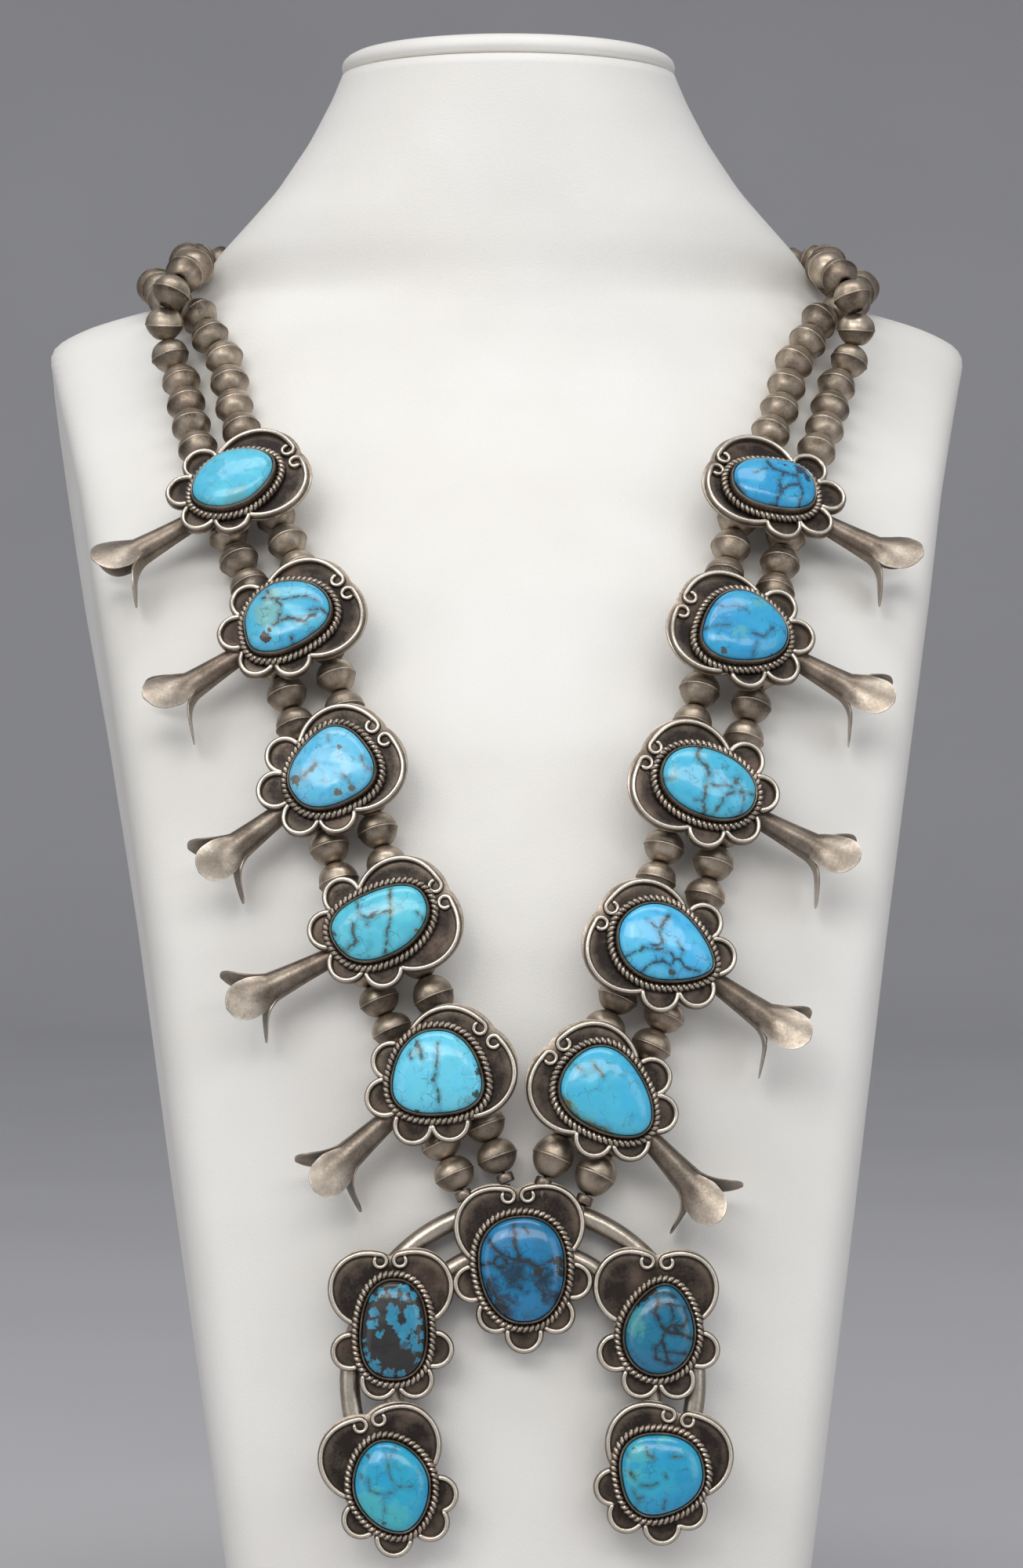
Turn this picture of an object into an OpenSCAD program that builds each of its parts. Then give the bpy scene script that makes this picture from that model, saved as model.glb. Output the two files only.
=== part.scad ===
/* [Bust] */
// Height of the bust from its flat base to the top of the neck cap
bust_h = 395; // [375:1:415]
// Width over the shoulders
shoulder_w = 230; // [220:1:240]
// Depth of the base
base_d = 140; // [132:1:148]
// Radius of the round neck cap
cap_r = 41; // [38:0.5:44]
// Thickness of the padded lip of the neck cap
cap_t = 5; // [3:0.5:7]
// Radius of the soft edges between the front and the sides
edge_r = 7; // [4:0.5:9]

/* [Beads] */
// Diameter of a bead over its rim
bead_d = 9.4; // [8:0.1:9.6]
// Usual length of a bead along the thread
bead_len = 7.8; // [7:0.1:9]
// Diameter of the hole through a bead
bore_d = 2.2; // [1.8:0.1:2.6]
// Diameter of the thread
thread_d = 0.8; // [0.5:0.1:1]
// Clear space between neighbours on a thread
bead_gap = 0.25; // [0.15:0.05:0.4]

/* [Settings] */
// Thickness of a back plate
plate_t = 1; // [0.8:0.1:1.4]
// Width of the wire along the edge of a plate
wire_w = 1.4; // [1:0.1:1.8]
// Height of the wire above the plate
wire_h = 1; // [0.6:0.1:1.4]
// Thickness of the bezel round a stone
bezel_t = 0.5; // [0.4:0.1:0.8]
// Height of the bezel above the plate
bezel_h = 3.2; // [2.4:0.1:4]
// Thickness of the rope ring round the bezel
rope_d = 1.5; // [1:0.1:1.8]
// Height of a stone's dome above the top of its bezel
dome_h = 2.4; // [1.5:0.1:3.5]
// Gap between a stone and its setting
stone_gap = 0.12; // [0.08:0.02:0.2]
// Height of a blossom's plate above its threads
plate_lift = 5.6; // [5.3:0.1:6.5]
// Length of the tubes that hold the threads under a blossom
tube_len = 5.6; // [5:0.1:6.4]
// Wall of those tubes
tube_wall = 0.8; // [0.6:0.1:1]

/* [Trumpets] */
// Length of a trumpet from its root under the plate to its petal tips
trumpet_len = 25.5; // [23:0.5:27]
// Radius of the trumpet's neck
neck_r = 2.1; // [1.8:0.1:2.4]
// Thickness of the trumpet's sheet
sheet_t = 0.6; // [0.5:0.1:0.8]

/* [Naja] */
// Radius of the outer bar's middle line
outer_bar_r = 37.8; // [36:0.1:39]
// Radius of the inner bar's middle line
inner_bar_r = 28.5; // [27:0.1:30]
// Thickness of both bars
bar_d = 4.4; // [3.6:0.1:5]
// Half angle of the opening at the bottom
mouth_half = 52; // [48:1:56]

/* [Hidden] */
blossom_names = ["l1", "l2", "l3", "l4", "l5", "r1", "r2", "r3", "r4", "r5"];
naja_names = ["top", "left_upper", "right_upper", "left_lower", "right_lower"];
half_names = ["outer_left", "inner_left", "outer_right", "inner_right"];

bust_color = "#e9e8e6";
silver = "#a79c90";
turquoise = "#2f9fc4";
thread_color = "#4a4540";

// Whole model is moved back by this much so that the origin is under the middle of its box
set_back = 9.5;

half_w = shoulder_w / 2;
neck_y = 0.371 * base_d;
front_steps = 7;
back_steps = 5;
// Sections of the bust from the base up, as shares: height of bust_h, front centre of base_d, front
// half width of half_w, front edge of base_d, back half width of half_w, back edge and back centre of
// base_d, and how far the section is round (0 flat backed, 1 an ellipse)
SEC_Z = 0; SEC_FRONT = 1; SEC_FRONT_W = 2; SEC_EDGE = 3;
SEC_BACK_W = 4; SEC_BACK_EDGE = 5; SEC_BACK = 6; SEC_ROUND = 7;
bust_sections = [
    [0.000, -0.557, 0.517, -0.471, 0.583, 0.443, 0.443, 0],
    [0.152, -0.536, 0.587, -0.443, 0.661, 0.486, 0.486, 0],
    [0.304, -0.493, 0.657, -0.386, 0.739, 0.536, 0.536, 0],
    [0.456, -0.421, 0.728, -0.307, 0.813, 0.593, 0.593, 0],
    [0.570, -0.329, 0.791, -0.200, 0.878, 0.636, 0.636, 0],
    [0.658, -0.214, 0.846, -0.071, 0.935, 0.671, 0.671, 0],
    [0.722, -0.100, 0.891, 0.086, 0.970, 0.693, 0.693, 0],
    [0.767, -0.007, 0.935, 0.229, 0.991, 0.700, 0.700, 0],
    [0.795, 0.036, 0.965, 0.329, 1.000, 0.671, 0.700, 0.1],
    [0.813, 0.057, 0.987, 0.400, 0.998, 0.600, 0.697, 0.2],
    [0.823, 0.064, 0.974, 0.443, 0.978, 0.543, 0.693, 0.3],
    [0.833, 0.071, 0.904, 0.443, 0.904, 0.500, 0.690, 0.3],
    [0.842, 0.075, 0.783, 0.421, 0.783, 0.471, 0.686, 0.3],
    [0.847, 0.076, 0.705, 0.407, 0.705, 0.450, 0.685, 0.4],
    [0.857, 0.079, 0.668, 0.393, 0.668, 0.421, 0.682, 0.5],
    [0.876, 0.079, 0.620, 0.379, 0.620, 0.386, 0.679, 0.8],
    [0.894, 0.081, 0.561, 0.371, 0.561, 0.371, 0.675, 1],
    [0.914, 0.081, 0.500, 0.371, 0.500, 0.371, 0.669, 1],
    [0.944, 0.082, 0.430, 0.371, 0.430, 0.371, 0.664, 1],
    [0.970, 0.082, 0.383, 0.371, 0.383, 0.371, 0.662, 1],
    [0.986, 0.081, 0.360, 0.371, 0.360, 0.371, 0.661, 1],
];

// Route of the pair of strands, drawn on a bust of this half width, base depth and height
route_bust = [115, 140, 395];
// Rows from the nape to the naja: distance out from the middle, y, z, the surface's swing to the side
// and lean upwards in degrees, roll of the pair about its route, half the distance between strands
nape_route = [
    [9, 101, 336.2, 180, 0, 187, 4.9],
    [26.2, 99, 337.8, 165, 0, 193, 4.9],
    [47.2, 91.9, 340.6, 145, 5, 197, 4.9],
    [78.5, 73, 342.6, 120, 20, 206, 5],
    [82.7, 53.6, 341.2, 100, 45, 189, 4.9],
    [80.9, 43.5, 338.9, 80, 55, 177, 4.9],
    [79, 31.2, 335.8, 45, 50, 148, 5.3],
    [77.6, 21.8, 331.2, 32, 40, 82, 5.7],
];
left_route = [
    [77.8, 20.9, 323, 28, 33, 22, 5.2],
    [73.9, 17.1, 315.3, 24, 33, -1, 5.8],
    [70.1, 3.7, 299.9, 20, 36, 1, 5.5],
    [63, -14, 280.6, 17, 34, 1, 5.8],
    [50.8, -34.8, 251.1, 13, 25, 2, 6],
    [41, -50, 217.5, 11, 16, 0, 5.7],
    [30.8, -61.2, 182.5, 8, 12, 1, 5.7],
    [18.2, -67.8, 151.9, 6, 9, 0, 5.6],
    [8.3, -72.4, 127.8, 0, 7, 0, 4.9],
];
right_route = [
    [77.1, 20.5, 322.4, 28, 33, 21, 5.3],
    [72.4, 15.6, 314.1, 24, 33, -1, 5.8],
    [67.1, 2.5, 299.4, 20, 36, 1, 5.8],
    [58.3, -15.1, 280.4, 17, 34, 2, 5.9],
    [50.1, -36.1, 249.3, 13, 25, 2, 6.1],
    [41.1, -51.3, 213.6, 11, 16, 1, 6],
    [31.3, -61.7, 179.4, 8, 12, 0, 5.6],
    [18, -68.5, 147.9, 6, 9, 0, 5.4],
    [9, -72.7, 126.8, 0, 7, -1, 4.9],
];
first_blossom_row = len(nape_route) + 3;
route_fit = [half_w / route_bust[0], base_d / route_bust[1], bust_h / route_bust[2]];

// Blossoms from the shoulder down, left side then right: curl angle above the horizontal towards the
// middle, trumpet angle below the horizontal outwards, stone, and how far the plate's middle is off
// the middle of the two threads
CURL = 0; TRUMPET = 1; STONE = 2; PLATE_AT = 3;
// Stone: length, width, turn, share by which it narrows to one end, squareness of its outline
// (2 an ellipse), share by which it is three cornered and where the first corner points, middle
LENGTH = 0; WIDTH = 1; TURN = 2; NARROW = 3; SQUARE = 4; CORNERED = 5; CORNER_AT = 6; MIDDLE = 7;
blossoms = [
    [35.6, 37.5, [19.9, 15.7, 31.5, 0.03, 1.83, 0, 0, [0, 0.6]], [1, 0.5]],
    [40, 37, [20, 16.4, 35.9, -0.3, 2.07, -0.09, 143.5, [-0.3, -1.8]], [1.6, -1.7]],
    [44.1, 39.5, [19, 16.5, 218.8, 0.2, 2.46, 0, 0, [0.3, -1]], [0.6, -1.3]],
    [31.9, 27.5, [21.7, 14.3, 25.4, -0.07, 2.29, -0.05, 217.6, [0.6, 1.1]], [2, 0.8]],
    [45.8, 43, [18.1, 18.8, 273.2, -0.23, 2.41, 0, 0, [0.3, -0.1]], [1.4, -1.5]],
    [33.2, 34.5, [19.7, 13.8, 7.2, 0.06, 2.43, 0, 0, [1.5, -0.7]], [1, -0.9]],
    [31.5, 32.5, [20.1, 17.5, 166.7, -0.13, 1.94, 0.06, 91.7, [2, -2.4]], [2, -2.5]],
    [33.7, 30, [21.7, 15.1, 22, -0.03, 2.15, 0, 0, [1.1, 0]], [2, -0.4]],
    [34.7, 36.5, [22.3, 16.2, 206.8, 0.27, 1.8, 0, 0, [0.9, -0.8]], [2.4, -1.4]],
    [46, 48, [21.9, 16.3, 42.7, -0.28, 2.15, 0, 0, [0.2, -1.2]], [1.7, -1]],
];
// Plate: radius of its two lobes, how far out they are and their half angle, radius of the scallops,
// radius of the disc between them, how far out the curls are
LOBE = 0; LOBE_OUT = 1; LOBE_HALF = 2; SCALLOP = 3; DISC = 4; CURLS_OUT = 5;
blossom_plate = [10.8, 6.2, 26, 4.6, 10.8, 13.7];
// Scallops of a blossom: angle from the curls and distance out
blossom_scallops = [[115, 12], [152, 13.2], [192, 11.8], [235, 9.4]];

// Settings of the naja: place across and up from the bars' centre, direction of the curls, stone,
// plate, scallops
PLACE = 0; CURLS_TO = 1; PLATE = 3; SCALLOPS = 4;
naja_settings = [
    [[-0.4, 26.5], 93, [22.6, 18.1, 274.4, 0.1, 2.24, 0, 0, [0.3, -2.8]],
        [9.4, 8.6, 36, 4.3, 10, 13.4],
        [[115, 12.1], [152.6, 13.6], [179, 16.7], [208, 14.6], [242.4, 12.5]]],
    [[-28.6, 12.8], 91.8, [21, 13.8, 268.8, -0.07, 2.4, 0, 0, [0.4, -1.9]],
        [8.7, 8.7, 36, 4.3, 9, 13],
        [[124.3, 11.3], [166, 13.3], [199.5, 13.7], [234.3, 11.2]]],
    [[28.7, 12.2], 87.5, [19.3, 14.8, 259.9, -0.17, 1.9, 0, 0, [1.1, -1.5]],
        [8.7, 9.2, 34, 4.3, 9, 13.2],
        [[130, 10.6], [168, 12.7], [203, 13.3], [242, 11.6]]],
    [[-29.2, -21.4], 109.2, [19.8, 16, 286.6, 0.03, 1.8, 0, 0, [0.6, -1.5]],
        [9.5, 7.6, 34, 4.3, 10, 13],
        [[125.3, 10.5], [165.5, 12.6], [204.8, 12.8], [234, 11.3]]],
    [[30.3, -20.3], 74.3, [17.5, 16.9, 9.7, 0.15, 2.38, 0, 0, [-0.3, 0]],
        [9.5, 7.05, 42, 4.3, 10, 12.4],
        [[120.7, 11.3], [153, 11.8], [194, 11.3], [229.3, 9.7]]],
];
naja_center = [0, -75.5, 86];
naja_lean = 7;
outline_sides = 20;
curl_r = 2;
curl_hole_r = 0.8;
curls_apart = 4.4;
mount_sink = 0.2;

function unit(v) = v / norm(v);
function turned(p, a) = [p[0] * cos(a) - p[1] * sin(a), p[0] * sin(a) + p[1] * cos(a)];
function polar(a, r) = [r * cos(a), r * sin(a)];

// Share of the way from centre to edge that a front or back curve has gone at u of its half width
function bow(u, round) = (1 - round) * u * u + round * (1 - sqrt(max(0, 1 - u * u)));
function curve_steps(n) = [for (i = [0 : n - 1]) sin(90 * i / n)];
function soft(a, c, b) =
    [for (t = [0.25, 0.5, 0.75]) a * (1 - t) * (1 - t) + c * 2 * t * (1 - t) + b * t * t];
// Least room between a section's front and back edges, least radius of its corners, and how much
// further back its back half lies
edge_room = 0.9;
corner_r = 0.3;
back_shift = 1;
// Right half of one section, from the front centre round the side to the back centre
function half_section(s) =
    let (wf = s[SEC_FRONT_W] * half_w, wb = s[SEC_BACK_W] * half_w,
         yf = s[SEC_FRONT] * base_d, ye = s[SEC_EDGE] * base_d,
         yk = s[SEC_BACK_EDGE] * base_d + back_shift, yb = s[SEC_BACK] * base_d + back_shift,
         round = s[SEC_ROUND],
         r = min(edge_r, max(yk - ye - back_shift, edge_room) / 3) * (1 - round) + corner_r,
         us = curve_steps(front_steps), ub = curve_steps(back_steps),
         wi = wf - r, wj = wb - r,
         side = [wb - wf, yk - ye])
    concat(
        [for (u = us) [u * wi, yf + (ye - yf) * bow(u * wi / wf, round)]],
        [[wi, yf + (ye - yf) * bow(wi / wf, round)]],
        soft([wi, yf + (ye - yf) * bow(wi / wf, round)], [wf, ye], [wf, ye] + side * 0.1),
        [for (t = [0.3, 0.7]) [wf, ye] + side * t],
        soft([wf, ye] + side * 0.9, [wb, yk], [wj, yb + (yk - yb) * bow(wj / wb, round)]),
        [for (i = [back_steps - 1 : -1 : 0])
            [ub[i] * wj, yb + (yk - yb) * bow(ub[i] * wj / wb, round)]]
    );
function ring_at(s) =
    let (h = half_section(s), n = len(h), z = s[SEC_Z] * bust_h)
    [for (p = h) [p[0], p[1], z], for (i = [n - 2 : -1 : 1]) [-h[i][0], h[i][1], z]];

// Closed solid through rings of equal length, with flat ends
module skin(rings) {
    n = len(rings[0]);
    m = len(rings);
    polyhedron(
        points = [for (r = rings) each r],
        faces = concat(
            [[for (i = [0 : n - 1]) i]],
            [for (k = [0 : m - 2], i = [0 : n - 1])
                each [[k * n + i, (k + 1) * n + i, (k + 1) * n + (i + 1) % n],
                      [k * n + i, (k + 1) * n + (i + 1) % n, k * n + (i + 1) % n]]],
            [[for (i = [n - 1 : -1 : 0]) (m - 1) * n + i]]
        )
    );
}

// Place of a route row on one side: -1 left, 1 right
function row_point(r, side) = [side * r[0] * route_fit[0], r[1] * route_fit[1], r[2] * route_fit[2]];
function row_normal(r, side) = [side * sin(r[3]) * cos(r[4]), -cos(r[3]) * cos(r[4]), sin(r[4])];
function route_rows(side) = concat(nape_route, side < 0 ? left_route : right_route);
function row_across(rows, i, side) =
    let (a = row_point(rows[max(i - 1, 0)], side),
         b = row_point(rows[min(i + 1, len(rows) - 1)], side),
         n = row_normal(rows[i], side), out = unit(cross(unit(b - a), n)) * -side)
    out * cos(rows[i][5]) + n * sin(rows[i][5]);
// Points of one strand: layer 1 the outer strand, -1 the inner one
function strand_knots(side, layer) =
    let (rows = route_rows(side))
    [for (i = [0 : len(rows) - 1])
        row_point(rows[i], side) + row_across(rows, i, side) * rows[i][6] * layer];
// Smooth curve through the points, in equal steps of each span
span_steps = 8;
function spline(p) =
    [for (i = [0 : len(p) - 2], k = [0 : span_steps - 1])
        let (t = k / span_steps, a = p[max(i - 1, 0)], b = p[i], c = p[i + 1],
             d = p[min(i + 2, len(p) - 1)])
        0.5 * (2 * b + (c - a) * t + (2 * a - 5 * b + 4 * c - d) * t * t
            + (3 * b - 3 * c + d - a) * t * t * t),
     p[len(p) - 1]];
function lengths(p, i = 0, so_far = 0, out = []) =
    i >= len(p) ? out
    : let (l = i == 0 ? 0 : so_far + norm(p[i] - p[i - 1])) lengths(p, i + 1, l, concat(out, [l]));
// Strand as a curve with its running length: [lengths, points]
function strand(side, layer) = let (c = spline(strand_knots(side, layer))) [lengths(c), c];
function at_length(st, l) =
    [for (k = [0 : 2]) lookup(l, [for (i = [0 : len(st[0]) - 1]) [st[0][i], st[1][i][k]]])];
function full_length(st) = st[0][len(st[0]) - 1];
// Direction of a strand at a length, taken over a short piece of it
heading_reach = 0.6;
function heading(st, l) =
    let (m = min(max(l, heading_reach), full_length(st) - heading_reach))
    unit(at_length(st, m + heading_reach) - at_length(st, m - heading_reach));
function row_length(st, row) = st[0][row * span_steps];
function blossom_length(st, k) = row_length(st, first_blossom_row + k);
// Stretches of a strand between clasp, blossoms and naja, as [start, end]
end_room = 1.5;
function stretches(st) =
    let (stops = [for (k = [0 : 4]) blossom_length(st, k)], last = full_length(st))
    concat(
        [[end_room, stops[0] - tube_len / 2]],
        [for (k = [0 : 3]) [stops[k] + tube_len / 2, stops[k + 1] - tube_len / 2]],
        [[stops[4] + tube_len / 2, last - end_room]]
    );
// Angle in radians between the directions at two lengths
function bend(st, a, b) = acos(min(1, heading(st, a) * heading(st, b))) * PI / 180;
// Middle and length of each bead on a strand, shorter where the strand bends
function bead_places(st) =
    [for (s = stretches(st))
        let (n = round((s[1] - s[0] - bead_gap) / (bead_len + bead_gap)), step = (s[1] - s[0]) / n)
        for (i = [0 : n - 1])
            let (l = s[0] + (i + 0.5) * step, turn = max(bend(st, l - step, l), bend(st, l, l + step)))
            [l, step - bead_gap - collar_share * bead_d / 2 * turn]];

module point_along(p, dir) translate(p) rotate([0, acos(dir[2]), atan2(dir[1], dir[0])]) children();

// Turns local X across, Y up and Z outwards on a surface with this normal
module on_surface(p, n) {
    x = unit(cross([0, 0, 1], n));
    y = cross(n, x);
    multmatrix([
        [x[0], y[0], n[0], p[0]],
        [x[1], y[1], n[1], p[1]],
        [x[2], y[2], n[2], p[2]],
        [0, 0, 0, 1]
    ]) children();
}

// Radius of a bead's collars as a share of its rim's radius
collar_share = 0.4;
// Half of a bead from its rim to a collar: radius and height as shares of the bead's
bead_half = [[1, 0.06], [0.96, 0.1], [0.93, 0.16], [0.84, 0.48], [0.66, 0.76],
    [collar_share + 0.02, 0.92], [collar_share, 1]];
// Two domed halves with a thin rim where they meet and a small collar at each hole
module bead(length) {
    r = bead_d / 2;
    b = bore_d / 2;
    h = length / 2;
    rotate_extrude($fn = 24)
        polygon(concat(
            [[b, -h]],
            [for (i = [len(bead_half) - 1 : -1 : 0]) [bead_half[i][0] * r, -bead_half[i][1] * h]],
            [for (p = bead_half) [p[0] * r, p[1] * h]],
            [[b, h]]
        ));
}

module bead_strand(side, layer) color(silver) {
    st = strand(side, layer);
    for (b = bead_places(st)) point_along(at_length(st, b[0]), heading(st, b[0])) bead(b[1]);
}

thread_sides = 6;
thread_step = 5;
module thread_strand(side, layer) color(thread_color) {
    st = strand(side, layer);
    n = ceil(full_length(st) / thread_step);
    skin([for (i = [0 : n])
        let (l = full_length(st) * i / n, d = heading(st, l), p = at_length(st, l),
             x = unit(cross(d, [0.31, 0.52, 0.8])), y = cross(d, x))
        [for (k = [thread_sides - 1 : -1 : 0])
            p + (x * cos(360 * k / thread_sides) + y * sin(360 * k / thread_sides)) * thread_d / 2]]);
}

function stone_edge(s) =
    [for (i = [0 : outline_sides - 1])
        let (a = 360 * (i + 0.5) / outline_sides, e = 2 / s[SQUARE],
             x = sign(cos(a)) * pow(abs(cos(a)), e), y = sign(sin(a)) * pow(abs(sin(a)), e),
             k = 1 + s[CORNERED] * cos(3 * a - s[CORNER_AT]))
        turned([x * s[LENGTH] / 2, y * s[WIDTH] / 2 * (1 - s[NARROW] * x)] * k, s[TURN])];
// Outline of a stone, shrunk towards its middle by a share and grown by some distance
function stone_outline(s, grow = 0, shrink = 1) =
    let (p = stone_edge(s), n = outline_sides)
    [for (i = [0 : n - 1])
        let (along = unit(p[(i + 1) % n] - p[(i + n - 1) % n]))
        (p[i] + [along[1], -along[0]] * grow) * shrink + s[MIDDLE]];
function flat_ring(s, grow, shrink, z) = [for (p = stone_outline(s, grow, shrink)) [p[0], p[1], z]];

module stone(s) color(turquoise) {
    z = plate_t + stone_gap;
    top = plate_t + bezel_h;
    g = -stone_gap;
    skin([
        flat_ring(s, g, 1, z),
        flat_ring(s, g, 1, top),
        flat_ring(s, g, 0.9, top + dome_h * 0.5),
        flat_ring(s, g, 0.66, top + dome_h * 0.84),
        flat_ring(s, g, 0.3, top + dome_h)
    ]);
}

// A plate's outline about local [0, 0], its curls towards local X turned by this angle
module plate_outline(plate, scallops, turn, inset = 0) {
    for (a = [-1, 1]) translate(polar(turn + a * plate[LOBE_HALF], plate[LOBE_OUT]))
        circle(plate[LOBE] - inset, $fn = 48);
    for (s = scallops) translate(polar(turn + s[0], s[1])) circle(plate[SCALLOP] - inset, $fn = 32);
    circle(plate[DISC] - inset, $fn = 48);
}
// Height of the rope ring as a share of its thickness, and of the curls as a share of the wire's
rope_rise = 0.9;
curl_rise = 1.3;
// Band round a stone between two distances from it
module band(s, from, to, h) linear_extrude(h) difference() {
    polygon(stone_outline(s, to));
    polygon(stone_outline(s, from));
}
// Back plate, edge wire, curls, bezel and rope ring, with the plate's middle off local [0, 0]
module setting(s, plate, scallops, curl, at) {
    translate(at) linear_extrude(plate_t) plate_outline(plate, scallops, curl);
    translate([0, 0, plate_t]) linear_extrude(wire_h) difference() {
        translate(at) plate_outline(plate, scallops, curl);
        translate(at) plate_outline(plate, scallops, curl, wire_w);
        polygon(stone_outline(s, bezel_t / 2));
    }
    translate([0, 0, plate_t]) linear_extrude(wire_h * curl_rise) difference() {
        translate(at) for (a = [-1, 1])
            translate(turned([plate[CURLS_OUT], a * curls_apart / 2], curl)) difference() {
                circle(curl_r, $fn = 32);
                circle(curl_hole_r, $fn = 24);
            }
        polygon(stone_outline(s, bezel_t / 2));
    }
    translate([0, 0, plate_t]) band(s, 0, bezel_t, bezel_h);
    translate([0, 0, plate_t]) band(s, bezel_t / 2, bezel_t + rope_d, rope_d * rope_rise);
}

// Distance of a trumpet's root from the middle of the two threads, and of the pad that it hangs from
trumpet_root = 11.2;
pad_at = 11.6;
// Turn of the three petals about the trumpet's own axis
petal_turn = 25;
// Flared sheet trumpet along local X from its closed root, cut into three petals
module trumpet() {
    flare = [[0, 1], [0.2, 1.02], [0.35, 1.2], [0.5, 1.6], [0.62, 2], [0.76, 2.55], [0.9, 3.5], [1, 4.6]];
    wall = [for (p = flare) [p[1] * neck_r, p[0] * trumpet_len]];
    rotate([0, 90, 0]) intersection() {
        rotate_extrude($fn = 48)
            polygon(concat(
                [[0, 0]],
                wall,
                [for (i = [len(wall) - 1 : -1 : 1]) wall[i] + [-sheet_t, sheet_t * 0.25]],
                [[0, sheet_t * 2]]
            ));
        union() {
            cylinder(r = neck_r * 2.1, h = trumpet_len + 2, $fn = 48);
            for (a = [-60, 60, 180]) rotate([0, 0, a + petal_turn]) translate([neck_r * 2.5, 0, 0])
                cylinder(r = neck_r * 2.25, h = trumpet_len + 2, $fn = 48);
        }
    }
}

// Tube that a thread runs through, with a foot up to the plate
foot_share = 0.6;
module thread_tube(p, dir, up, rise) {
    r = bore_d / 2 + tube_wall;
    from = r - tube_wall / 2;
    point_along(p, dir) cylinder(r = r, h = tube_len, center = true, $fn = 32);
    translate(p + up * from) on_axis(up, dir)
        translate([-tube_len / 2, -r * foot_share, 0])
            cube([tube_len, 2 * r * foot_share, rise - from]);
}
// Local Z along up and local X along dir
module on_axis(up, dir) {
    y = unit(cross(up, dir));
    x = cross(y, up);
    multmatrix([[x[0], y[0], up[0], 0], [x[1], y[1], up[1], 0], [x[2], y[2], up[2], 0], [0, 0, 0, 1]])
        children();
}

function blossom_side(k) = k < 5 ? -1 : 1;
function blossom_frame(k) =
    let (side = blossom_side(k), r = route_rows(side)[first_blossom_row + k % 5])
    [row_point(r, side), row_normal(r, side)];
module mirrored(side) { if (side > 0) mirror([1, 0, 0]) children(); else children(); }
module on_blossom(k) {
    f = blossom_frame(k);
    on_surface(f[0] + f[1] * plate_lift, f[1]) mirrored(blossom_side(k)) children();
}
module blossom(k) color(silver) {
    b = blossoms[k];
    side = blossom_side(k);
    f = blossom_frame(k);
    n = f[1];
    difference() {
        union() {
            on_blossom(k) {
                setting(b[STONE], blossom_plate, blossom_scallops, b[CURL], b[PLATE_AT]);
                translate(polar(180 + b[TRUMPET], pad_at)) cylinder(r = neck_r, h = plate_t, $fn = 32);
                rotate([0, 0, 180 + b[TRUMPET]]) translate([trumpet_root, 0, -neck_r + mount_sink])
                    trumpet();
            }
            for (layer = [-1, 1]) {
                st = strand(side, layer);
                l = blossom_length(st, k % 5);
                p = at_length(st, l);
                thread_tube(p, heading(st, l), n, (f[0] - p) * n + plate_lift + mount_sink);
            }
        }
        for (layer = [-1, 1]) {
            st = strand(side, layer);
            l = blossom_length(st, k % 5);
            point_along(at_length(st, l), heading(st, l))
                cylinder(r = bore_d / 2, h = tube_len + 4, center = true, $fn = 32);
        }
    }
}

// Naja's own plane: local X across, Y up, Z outwards from the middle of the bars
function naja_middle() = [0, naja_center[1] * route_fit[1], naja_center[2] * route_fit[2]];
module on_naja() on_surface(naja_middle(), [0, -cos(naja_lean), sin(naja_lean)]) children();
module at_setting(s) translate([s[PLACE][0], s[PLACE][1], bar_d / 2 - mount_sink]) children();
module bar(r) rotate([0, 0, mouth_half - 90]) rotate_extrude(angle = 360 - 2 * mouth_half, $fn = 96)
    translate([r, 0]) circle(bar_d / 2, $fn = 24);
module naja() color(silver) difference() {
    union() {
        on_naja() {
            bar(outer_bar_r);
            bar(inner_bar_r);
            for (s = naja_settings) at_setting(s)
                setting(s[STONE], s[PLATE], s[SCALLOPS], s[CURLS_TO], [0, 0]);
        }
        for (side = [-1, 1], layer = [-1, 1]) naja_ring(side, layer);
    }
    for (side = [-1, 1], layer = [-1, 1]) at_strand_end(side, layer)
        cylinder(r = thread_d / 2 + thread_gap, h = ring_len + 0.4, center = true, $fn = 32);
}
thread_gap = 0.3;
ring_len = 2;
post_r = 0.9;
module at_strand_end(side, layer) {
    st = strand(side, layer);
    point_along(at_length(st, full_length(st)), heading(st, full_length(st))) children();
}
// Ring that holds the end of a thread, on a post down to the outer bar
module naja_ring(side, layer) {
    st = strand(side, layer);
    p = at_length(st, full_length(st));
    at_strand_end(side, layer) cylinder(r = bore_d / 2 + tube_wall, h = ring_len, center = true, $fn = 32);
    point_along(p, unit(naja_middle() - p))
        cylinder(r = post_r, h = norm(naja_middle() - p) - outer_bar_r, $fn = 24);
}

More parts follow.
